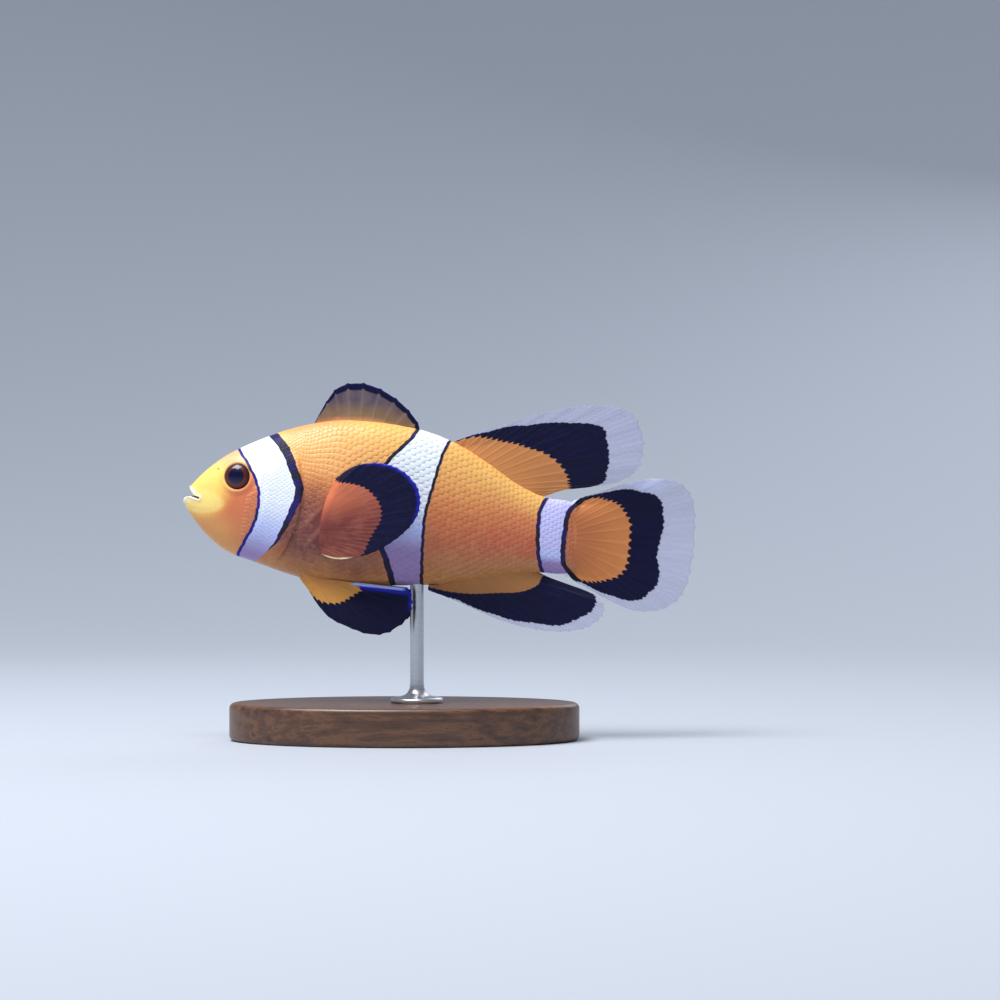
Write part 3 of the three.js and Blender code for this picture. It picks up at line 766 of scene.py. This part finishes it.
# ---------------------------------------------------------------- fins
# Each fin: a thin web stretched over bony rays that rise from a fleshy base in the body and
# branch towards the rim. Orange at the base, black beyond a saw-toothed line that the rays
# carry outwards, and clear at the rim.

FINS = {
    "dorsal_fin_front": dict(
        bands=[BANDS[1]],
        root=[[21.2, 12.6], [25.6, 13.0], [30.0, 13.0], [34.4, 12.4]],
        edge=[[19.6, 14.2], [21.0, 17.6], [22.8, 20.4], [26.2, 21.5], [30.2, 20.6],
              [33.8, 18.4], [36.2, 15.9], [36.6, 13.9]],
        bend=lambda x, z: 0.25 * np.sin(0.35 * (x - 20)) * ease(z, 15, 21),
        buried=0, base=0.62, rays=10, branching=0.0, teeth=0.15, scallop=0.022,
        dark=[0.97, 0.92, 0.88, 0.87, 0.87, 0.87, 0.85, 0.78], clear=[1.3] * 8),
    "dorsal_fin_rear": dict(
        bands=[BANDS[1]],
        root=[[41.5, 11.6], [46.2, 9.9], [50.9, 7.6], [55.4, 5.2]],
        edge=[[41.4, 13.2], [45.5, 15.2], [50.0, 17.2], [55.5, 19.5], [61.0, 21.3],
              [66.5, 21.9], [70.8, 20.6], [72.6, 16.4], [72.0, 12.2], [69.2, 9.9],
              [64.8, 8.6], [60.6, 7.7], [57.2, 6.2]],
        bend=lambda x, z: -1.5 * ease(x, 52, 74) * ease(z, 6, 13),
        buried=0, base=0.6, rays=15, branching=1.0, teeth=0.5, scallop=0.012,
        dark=[1.0, 0.84, 0.60, 0.44, 0.38, 0.35, 0.37, 0.42, 0.47, 0.53, 0.71, 1.1, 1.3],
        clear=[1.0, 0.95, 0.87, 0.76, 0.71, 0.74, 0.78, 0.75, 0.77, 0.84, 0.97, 1.1, 1.2]),
    "anal_fin": dict(
        bands=[],
        root=[[40.6, -8.4], [46.0, -7.2], [51.2, -5.9], [56.4, -4.6]],
        edge=[[40.4, -10.6], [43.6, -11.4], [48.0, -12.8], [52.6, -14.2], [57.6, -15.0],
              [62.6, -15.0], [66.8, -13.8], [69.0, -11.4], [68.2, -9.1], [65.4, -7.9],
              [61.4, -7.1], [57.6, -6.2]],
        bend=lambda x, z: -1.4 * ease(x, 50, 70) * ease(-z, 5, 10),
        buried=0, base=1.15, rays=14, branching=1.0, teeth=0.1, scallop=0.012,
        dark=[0.74, 0.70, 0.56, 0.45, 0.38, 0.35, 0.36, 0.37, 0.38, 0.38, 0.43, 0.55, 0.6],
        clear=[0.99, 0.96, 0.91, 0.90, 0.88, 0.88, 0.89, 0.87, 0.92, 0.96, 1.1, 1.2, 1.2]),
    "caudal_fin": dict(
        bands=[BANDS[2]],
        root=[[61.8, 4.6], [62.6, 1.6], [62.6, -1.5], [61.8, -4.5]],
        edge=[[61.8, 6.2], [66.0, 7.9], [70.4, 9.9], [75.0, 11.1], [79.2, 10.8],
              [81.6, 8.0], [82.3, 3.0], [82.3, -2.4], [81.4, -7.0], [78.6, -9.7],
              [74.4, -10.5], [70.2, -9.5], [66.0, -7.7], [62.0, -6.1]],
        bend=lambda x, z: 0.9 * ease(x, 64, 84) * (1 + 0.4 * np.sin(0.3 * z)),
        buried=0, base=1.0, rays=15, branching=1.0, teeth=0.5, scallop=0.012,
        dark=[0.7, 0.70, 0.53, 0.47, 0.44, 0.46, 0.46, 0.47, 0.47, 0.46, 0.51, 0.64, 0.7],
        clear=[1.0, 0.88, 0.78, 0.73, 0.74, 0.74, 0.70, 0.74, 0.78, 0.80, 0.77, 0.82, 1.0],
        pale=lambda x, z, rim: 1 - ease(np.hypot((x - 73.0) / 4.5, (z - 10.6) / 2.0), 0.4, 1.2)),
    "pelvic_fin": dict(
        bands=[],
        root=[[20.4, -9.6], [21.9, -9.8], [23.4, -10.1], [24.8, -10.4]],
        edge=[[20.0, -10.8], [21.7, -12.6], [23.3, -14.6], [25.6, -16.6], [28.9, -17.8],
              [32.5, -18.5], [35.7, -17.6], [37.9, -15.5], [38.5, -13.4], [38.3, -11.6],
              [37.3, -10.55]],
        bend=lambda x, z: 2.1 + 1.1 * ease(-z, 10, 18) + 0.9 * ease(x, 24, 34),
        buried=1, base=0.62, rays=8, branching=1.0, teeth=0.36, scallop=0.015,
        dark=[1.2, 1.0, 0.80, 0.64, 0.54, 0.45, 0.40, 0.39, 0.41, 0.30, 0.26],
        clear=[1.3] * 11, blue=(0.8, 1.1, 0.8),
        blue_line=lambda x, z: ease(z, -11.75, -11.2) * ease(x, 28.2, 29.4),
        pale=lambda x, z, rim: ease(z, -11.05, -10.8) * ease(x, 27.9, 29.0)
        * (1 - ease(x, 36.2, 37.2))),
    "pectoral_fin": dict(
        bands=[],
        root=[[20.9, 1.4], [21.2, -0.8], [21.4, -3.0], [21.3, -5.2]],
        edge=[[21.4, 2.8], [24.2, 5.7], [27.3, 8.1], [31.2, 8.9], [35.0, 8.0], [37.7, 5.4],
              [38.2, 2.1], [36.7, -1.0], [34.0, -3.7], [30.3, -5.9], [26.2, -7.0],
              [22.2, -6.4]],
        bend=lambda x, z: 5.4 + 0.26 * (x - 21)
        - 1.6 * (1 - ease(x - 0.05 * (z + 1.5) ** 2, 20.6, 23.4)),
        buried=1, base=0.55, rays=17, branching=1.0, teeth=0.3, scallop=0.008,
        dark=[1.3, 0.95, 0.65, 0.59, 0.60, 0.61, 0.63, 0.65, 0.67, 0.77, 1.0, 1.3, 1.4],
        clear=[1.3] * 13, blue=(0.25, 0.56, 0.75), smooth=0.5,
        # the pale lower edge near the base is a painted highlight, where the first ray catches the light
        pale=lambda x, z, rim: (1 - ease(rim, 0.35, 0.7)) * ease(x, 22.8, 24.4)
        * (1 - ease(x, 26.6, 28.8)) * (z < -4)),
}
RAY_STEPS = 46
WEB_HALF = 0.045
RAY_HALF = 0.065
RIM_HALF = 0.02


def ray_ridge(fan, out, rays, branching):
    """1 on a ray and 0 on the web. A ray is at the middle of each step of fan * rays; past
    0.42 of its length it parts in two and past 0.72 in four, by adding offsets."""
    phase = (fan * rays) % 1.0 - 0.5
    first = 0.25 * branching * ease(out, 0.36, 0.62)
    second = 0.12 * branching * ease(out, 0.66, 0.9)
    width = 0.15 - 0.085 * out * branching - 0.06 * out * (1 - branching)
    ridge = np.zeros_like(phase)
    for one in (-1, 1):
        for two in (-1, 1):
            ridge = np.maximum(ridge, hump(phase - one * first - two * second, width))
    return ridge


def fin_sheet(fin, side, seed, fans=330):
    """Both faces of a fin as one closed grid. The middle surface runs straight from root to
    edge for each ray; each face stands off it by the half thickness, which falls from the
    fleshy base to the web and rises on the rays; columns run out on one face, back on the
    other."""
    noise = np.random.default_rng(seed)
    fan, out = np.meshgrid(np.linspace(0, 1, fans), np.linspace(0, 1, RAY_STEPS) ** 0.9,
                           indexing="ij")
    ridge = ray_ridge(fan, out, fin["rays"], fin["branching"])
    slow = sum(noise.uniform(0.4, 1) * np.sin(fan * noise.uniform(6, 40) + noise.uniform(0, 6))
               for _ in range(5)) / 5
    reach = 1 - fin["scallop"] * (1 - ray_ridge(fan, np.full_like(fan, 0.55), fin["rays"],
                                                fin["branching"])) * ease(out, 0.3, 1)
    reach -= 0.008 * (1 + slow) * ease(out, 0.5, 1)
    root, edge = through(fin["root"], fan), through(fin["edge"], fan)
    flat = root + (edge - root) * (out * reach)[..., None]
    length = np.linalg.norm(edge - root, axis=-1)
    border = np.minimum(fan, 1 - fan) * fins_span(fin)
    taper = ease(border, 0.0, 0.5) * ease((1 - out) * length, 0.0, 0.9)
    fleshy = ease(out, -0.1 * fin["buried"] - 0.001, 0.1 * fin["buried"])
    half = fin["base"] * fleshy * (1 - np.clip(out / 0.44, 0, 1)) ** 1.4 + WEB_HALF
    fine = fin.get("smooth", 0.1)
    rise = 0.35 - 0.3 * fine + (0.65 + 0.3 * fine) * ease(out, 0.5 * fine, 0.45 + 0.5 * fine)
    half = half + RAY_HALF * (1 - 0.75 * out) * rise * ridge
    half = RIM_HALF + (half - RIM_HALF) * taper
    middle = fin["bend"](flat[..., 0], flat[..., 1])
    ripple = 0.03 * np.sin(fan * fin["rays"] * 2 * np.pi) * ease(out, 0.3, 0.9)
    faces = []
    for face in (1, -1):
        faces.append(np.stack([flat[..., 0], side * (middle + ripple + face * half),
                               flat[..., 1]], axis=-1))
    points = np.concatenate([faces[0], faces[1][:, ::-1]], axis=1)
    both = lambda field: np.concatenate([field, field[:, ::-1]], axis=1)
    tooth = ray_ridge(fan, np.full_like(fan, 0.6), fin["rays"], max(fin["branching"], 0.0))
    uneven = 1 + 0.35 * slow
    dark = (out - level(fin["dark"], fan)) * length - fin["teeth"] * uneven * (tooth - 0.35)
    fray = ray_ridge(fan, np.full_like(fan, 0.9), fin["rays"], fin["branching"])
    lobes = 0.4 * np.abs(np.sin(np.pi * 7.5 * fan)) - 0.2
    clear = (out - level(fin["clear"], fan)) * length - 0.2 * (fray - 0.5) - 0.2 * slow - lobes
    rim = (1 - out) * length
    edge_gap = np.minimum(rim, border)
    pale = np.zeros_like(rim)
    if "pale" in fin:
        pale = fin["pale"](flat[..., 0], flat[..., 1], edge_gap)
        pale *= ease(clear, -0.05, 0.2) if fin["clear"][1] < 1 else 1
    start, stop, wide = fin.get("blue", (-1, 2, 0.42))
    blue_rim = ease(fan, start - 0.06, start + 0.02) * (1 - ease(fan, stop - 0.02, stop + 0.06))
    blue_rim *= 1 - ease(edge_gap * np.clip(out + 0.1, 0, 1), 0.06, wide)
    if "blue_line" in fin:
        blue_rim = np.maximum(blue_rim, fin["blue_line"](flat[..., 0], flat[..., 1]))
    back = np.interp(flat[..., 0], BODY_STATIONS[:, 0], BODY_STATIONS[:, 1])
    merge = (flat[..., 1] - back) / 3 + 0.35 * ease(fan, 0.55, 0.9) if fin["branching"] == 0 else out
    marks = dict(dark_gap=both(-dark), clear_gap=both(clear), ray=both(ridge), out=both(out),
                 fan=both(fan), blue_rim=both(blue_rim), pale=both(pale), merge=both(merge))
    return points, marks


def fins_span(fin):
    """Length of the fin's outer edge, in mm."""
    line = through(fin["edge"], np.linspace(0, 1, 200))
    return np.linalg.norm(np.diff(line, axis=0), axis=1).sum()


def fin_material(name, base, beyond, streak, rim_blue=0.25, pale=None, shade=None,
                 shade_on=("fan", 0.2, 0.6), merge=(0.06, 0.36)):
    """Orange skin from base to beyond, black web past the toothed line, and a clear rim.
    Rays show as streaks on the orange and faintly on the black and the clear web, and fine
    striae run between them: noise on (fan, out), much closer across the rays than along."""
    paint = Paint(name)
    grain = paint.noise(1500, 3)
    ray, out = paint.mark("ray"), paint.mark("out")
    across = paint.node("ShaderNodeCombineXYZ")
    paint.join(paint.math("MULTIPLY", paint.mark("fan"), 150.0), across.inputs["X"])
    paint.join(paint.math("MULTIPLY", out, 3.0), across.inputs["Y"])
    striae = paint.noise(1.0, 3, 0.6, across.outputs["Vector"])
    orange = paint.mix(paint.span(paint.mark("merge"), *merge), base, beyond)
    # shade: a darker tint laid on along shade_on; on the pectoral fin it is painted shade towards the
    # lower edge
    if shade:
        label, low, high = shade_on
        orange = paint.mix(paint.span(paint.mark(label), low, high), orange, shade)
        blotch = paint.span(paint.noise(420, 2), 0.4, 0.65, 0.0, 0.25)
        orange = paint.mix(blotch, orange, streak)
    orange = paint.mix(paint.math("MULTIPLY", ray, paint.span(out, 0.1, 0.5, 0.0, 0.24)),
                       orange, streak)
    orange = paint.mix(paint.span(striae, 0.45, 0.75, 0.0, 0.3), orange, tint(150, 84, 52))
    black = paint.mix(paint.span(striae, 0.4, 0.8, 0.0, 0.5), tint(4, 5, 42), tint(16, 17, 78))
    blue = paint.math("MULTIPLY", paint.mark("blue_rim"), rim_blue)
    black = paint.mix(blue, black, tint(34, 36, 190))
    colour = paint.mix(paint.span(paint.mark("dark_gap"), -0.12, 0.12), black, orange)
    colour = paint.mix(paint.span(paint.mark("ink_gap"), -0.07, 0.05), LINE_BLACK, colour)
    colour = paint.mix(paint.span(paint.mark("white_gap"), -0.06, 0.04), BAND_WHITE, colour)
    clear = paint.span(paint.mark("clear_gap"), -0.08, 0.16)
    colour = paint.mix(clear, colour, paint.mix(ray, tint(168, 166, 206), tint(186, 188, 226)))
    # pale: on the pectoral fin, a painted highlight along the lower edge
    if pale:
        colour = paint.mix(paint.math("MULTIPLY", paint.mark("pale"), 0.85), colour, pale)
    veil = paint.math("MULTIPLY_ADD", ray, 0.1, 0.24)
    veil = paint.math("MULTIPLY_ADD", paint.mark("pale"), 0.35, veil)
    alpha = paint.math("MULTIPLY_ADD", clear, paint.math("SUBTRACT", veil, 1.0), 1.0)
    joints = paint.math("SINE", paint.math("MULTIPLY", out, 260.0))
    normal = paint.bump(paint.math("MULTIPLY", joints, ray), 0.00001, 0.5,
                        paint.bump(striae, 0.00003, 0.4))
    return paint.finish(colour, paint.span(grain, 0.3, 0.7, 0.4, 0.55), normal, alpha,
                        Specular_IOR_Level=0.2)


FIN_FINISHES = {
    "dorsal_fin_front": fin_material("fin_spiny_olive", tint(208, 146, 92), tint(130, 108, 84),
                                     tint(140, 128, 112), rim_blue=0.12, merge=(-0.1, 0.3),
                                     shade=tint(82, 74, 96), shade_on=("merge", 0.35, 1.25)),
    "dorsal_fin_rear": fin_material("fin_soft_dorsal", tint(204, 136, 80), tint(196, 130, 78),
                                    tint(224, 162, 102)),
    "anal_fin": fin_material("fin_anal", tint(184, 126, 74), tint(176, 120, 72),
                             tint(190, 134, 84)),
    "caudal_fin": fin_material("fin_caudal", TAIL_ORANGE, tint(204, 128, 74),
                               tint(224, 152, 96), pale=tint(222, 228, 255)),
    "pelvic_fin": fin_material("fin_pelvic", BELLY_OCHRE, tint(214, 150, 74),
                               tint(232, 174, 96), rim_blue=0.8, pale=tint(188, 206, 255)),
    # pectoral: darker towards the lower edge as painted shade, with a pale lower edge as painted highlight
    "pectoral_fin": fin_material("fin_pectoral", tint(190, 100, 76), tint(208, 114, 80),
                                 tint(178, 104, 82), rim_blue=0.9, shade=tint(108, 52, 52),
                                 pale=tint(255, 228, 180)),
}


def build_fin(name, fin, side, seed, material, replaced):
    points, marks = fin_sheet(fin, side, seed)
    rows, columns = points.shape[:2]
    quads, ii, jj = grid_faces(rows, columns, wrap=True)
    step = np.arange(columns // 2 - 1)
    back = columns - 1 - step
    first = np.stack([step, step + 1, back - 1, back], -1)
    far = (rows - 1) * columns
    final = far + np.stack([back, back - 1, step + 1, step], -1)
    faces = np.vstack([quads, first, final])
    uv = 0.02 + 0.96 * np.stack([ii / (rows - 1), jj / columns], axis=-1)
    cap = np.stack([
        np.stack([np.full(4, 0.004), np.full(4, 0.004)], -1) + [[0, 0], [0, .002], [.002, .002],
                                                              [.002, 0]]] * (2 * len(step)))
    white, ink = band_gaps(points, fin["bands"])
    marks.update(white_gap=white, ink_gap=ink)
    return make_piece(name, points, faces.tolist(), np.concatenate([uv, cap]), marks, material,
                      replaced)


for seed, (name, fin) in enumerate(FINS.items()):
    web = FIN_FINISHES[name]
    if name in ("pelvic_fin", "pectoral_fin"):
        for side, word in ((-1, "left"), (1, "right")):
            node = f"{name}_{word}"
            build_fin(f"{node}_web", fin, side, seed, web, [node])
    else:
        build_fin(f"{name}_web", fin, 1, seed, web, [name])

# ---------------------------------------------------------------- stand
# The stand's base: an oval of oiled walnut with softly rounded edges, and its rod: turned
# steel with a low foot, standing on the base and let into the fish's belly.

BASE_SIZE = (28.0, 17.0)
BASE_MIDDLE = -2.0
BASE_TALL = 6.0
BASE_ROUND = 0.9
ROD_TOP = 31.6


def turned(profile, columns, wide=1.0, deep=1.0, shift=0.0):
    """A profile of (radius, height) carried round z, as (wide r cos t, deep r sin t, h)."""
    radius, tall = profile[:, 0], profile[:, 1]
    t = np.arange(columns) * 2 * np.pi / columns
    x = shift + wide * radius[:, None] * np.cos(t)
    y = deep * radius[:, None] * np.sin(t)
    z = np.broadcast_to(tall[:, None], x.shape)
    return np.stack([x, y, z], axis=-1)


def stand_piece(name, points, material, node):
    """A turned grid with flat ends, in millimetres of the shared frame."""
    rows, columns = points.shape[:2]
    quads, _, _ = grid_faces(rows, columns, wrap=True)
    ring = np.arange(columns)
    faces = quads.tolist() + [ring[::-1].tolist(), ((rows - 1) * columns + ring).tolist()]
    mesh = bpy.data.meshes.new(name)
    mesh.from_pydata((points.reshape(-1, 3) * MM).tolist(), [], faces)
    mesh.shade_smooth()
    mesh.materials.append(material)
    piece = bpy.data.objects.new(name, mesh)
    bpy.context.collection.objects.link(piece)
    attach(piece, "root")
    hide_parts(node)
    return piece


def walnut_material():
    paint = Paint("walnut_oiled")
    along_grain = paint.stretched((90, 900, 900), turn=(0, 0, 0.06))
    rings = paint.noise(1.0, 5, 0.55, along_grain)
    pores = paint.noise(1.0, 2, 0.6, paint.stretched((500, 7000, 7000), turn=(0, 0, 0.06)))
    colour = paint.ramp(rings, [
        (0.25, tint(52, 32, 22)), (0.45, tint(84, 54, 36)), (0.6, tint(108, 72, 48)),
        (0.75, tint(70, 44, 30))])
    colour = paint.mix(paint.span(pores, 0.55, 0.7, 0.0, 0.55), colour, tint(34, 20, 14))
    rough = paint.span(rings, 0.3, 0.7, 0.34, 0.46)
    return paint.finish(colour, rough, paint.bump(pores, 0.00003, 0.5), Coat_Weight=0.2,
                        Coat_Roughness=0.25)


def steel_material():
    paint = Paint("steel_turned")
    rings = paint.noise(1.0, 2, 0.5, paint.stretched((400, 400, 9000)))
    colour = paint.mix(paint.span(rings, 0.3, 0.7), tint(194, 196, 200), tint(206, 208, 212))
    return paint.finish(colour, paint.span(rings, 0.3, 0.7, 0.3, 0.36), Metallic=1.0)


def rounded_plate(tall, radius, turn):
    """Profile of a plate with quarter-round edges: in, round, up, round and in again."""
    q = np.linspace(0, np.pi / 2, 9)
    low = np.stack([radius - turn * (1 - np.sin(q)), turn * (1 - np.cos(q))], -1)
    high = np.stack([radius - turn * (1 - np.cos(q)), tall - turn * (1 - np.sin(q))], -1)
    inner = np.linspace(0.1, radius - turn, 12)[:-1]
    bottom = np.stack([inner, np.zeros_like(inner)], -1)
    top = np.stack([inner[::-1], np.full_like(inner, tall)], -1)
    return np.vstack([bottom, low, high, top])


plate = turned(rounded_plate(BASE_TALL, 1.0 * BASE_SIZE[0], BASE_ROUND), 160,
               1.0, BASE_SIZE[1] / BASE_SIZE[0], BASE_MIDDLE)
base_piece = stand_piece("stand_base_wood", plate, walnut_material(), "stand_base")

rod_profile = np.array([
    [0.2, 0.0], [4.05, 0.0], [4.18, 0.1], [4.18, 0.55], [4.05, 0.75], [3.6, 0.9], [2.6, 1.02],
    [1.9, 1.25], [1.45, 1.7], [1.2, 2.3], [1.12, 3.0], [1.1, 4.0], [1.1, 12.0], [1.1, 20.0],
    [1.1, ROD_TOP - BASE_TALL - 0.4], [0.7, ROD_TOP - BASE_TALL], [0.2, ROD_TOP - BASE_TALL]])
rod = turned(rod_profile, 64)
rod[..., 2] += BASE_TALL
stand_piece("stand_rod_steel", rod, steel_material(), "stand_rod")

# ---------------------------------------------------------------- studio
# A pale dish that the stand rests on: flat in the middle and curving up all round into a
# plain backdrop, with a large soft light above and a weaker one behind.

DISH_FLAT = 0.3
DISH_RISE = 0.7


def dish():
    """Radius r and height h of the dish: flat, then a quarter turn, then a wall."""
    q = np.linspace(0, np.pi / 2, 40)
    flat = np.stack([np.linspace(0.002, DISH_FLAT, 30), np.zeros(30)], -1)
    curve = np.stack([DISH_FLAT + DISH_RISE * np.sin(q), DISH_RISE * (1 - np.cos(q))], -1)
    profile = np.vstack([flat, curve[1:]])
    t = np.arange(128) * 2 * np.pi / 128
    x = profile[:, :1] * np.cos(t)
    y = profile[:, :1] * np.sin(t)
    points = np.stack([x, y, np.broadcast_to(profile[:, 1:], x.shape)], -1)
    quads, _, _ = grid_faces(len(profile), 128, wrap=True)
    mesh = bpy.data.meshes.new("floor_dish")
    mesh.from_pydata(points.reshape(-1, 3).tolist(), [],
                     quads.tolist() + [np.arange(128)[::-1].tolist()])
    mesh.shade_smooth()
    return mesh


floor_paint = Paint("pale_floor")
floor_tone = floor_paint.mix(floor_paint.noise(3.0, 2), tint(176, 183, 196), tint(180, 187, 199))
dish_mesh = dish()
dish_mesh.materials.append(floor_paint.finish(floor_tone, 0.8))
floor = bpy.data.objects.new("floor_dish", dish_mesh)
bpy.context.collection.objects.link(floor)


def softbox(name, where, aim, size, watts, colour):
    """A square light at where, pointing at aim."""
    lamp = bpy.data.lights.new(name, "AREA")
    lamp.size, lamp.energy, lamp.color = size, watts, colour
    holder = bpy.data.objects.new(name, lamp)
    bpy.context.collection.objects.link(holder)
    holder.location = where
    holder.rotation_euler = (Vector(aim) - Vector(where)).to_track_quat("-Z", "Y").to_euler()


middle = (0.0, 0.0, 0.04)
softbox("light_above", (-0.17, -0.14, 0.53), middle, 0.34, 4.8, (1.0, 0.99, 0.97))
softbox("light_back", (0.3, 0.5, 0.4), middle, 0.4, 0.9, (0.98, 0.99, 1.0))

world = bpy.data.worlds.new("soft_room")
world.use_nodes = True
world.node_tree.nodes["Background"].inputs["Color"].default_value = (0.82, 0.88, 0.98, 1.0)
world.node_tree.nodes["Background"].inputs["Strength"].default_value = 0.4
bpy.context.scene.world = world
bpy.context.scene.view_settings.view_transform = "Standard"

# The camera: level, beside the fish's left flank, framing 160 mm at the fish.
CAMERA_AWAY = 0.5
FRAME_WIDE = 0.16
camera_data = bpy.data.cameras.new("camera")
camera_data.sensor_width = 36.0
camera_data.lens = camera_data.sensor_width * CAMERA_AWAY / FRAME_WIDE
camera_data.clip_start, camera_data.clip_end = 0.01, 10.0
camera = bpy.data.objects.new("camera", camera_data)
bpy.context.collection.objects.link(camera)
camera.location = (0.01328, -CAMERA_AWAY, 0.0384)
camera.rotation_euler = (np.pi / 2, 0.0, 0.0)
bpy.context.scene.camera = camera
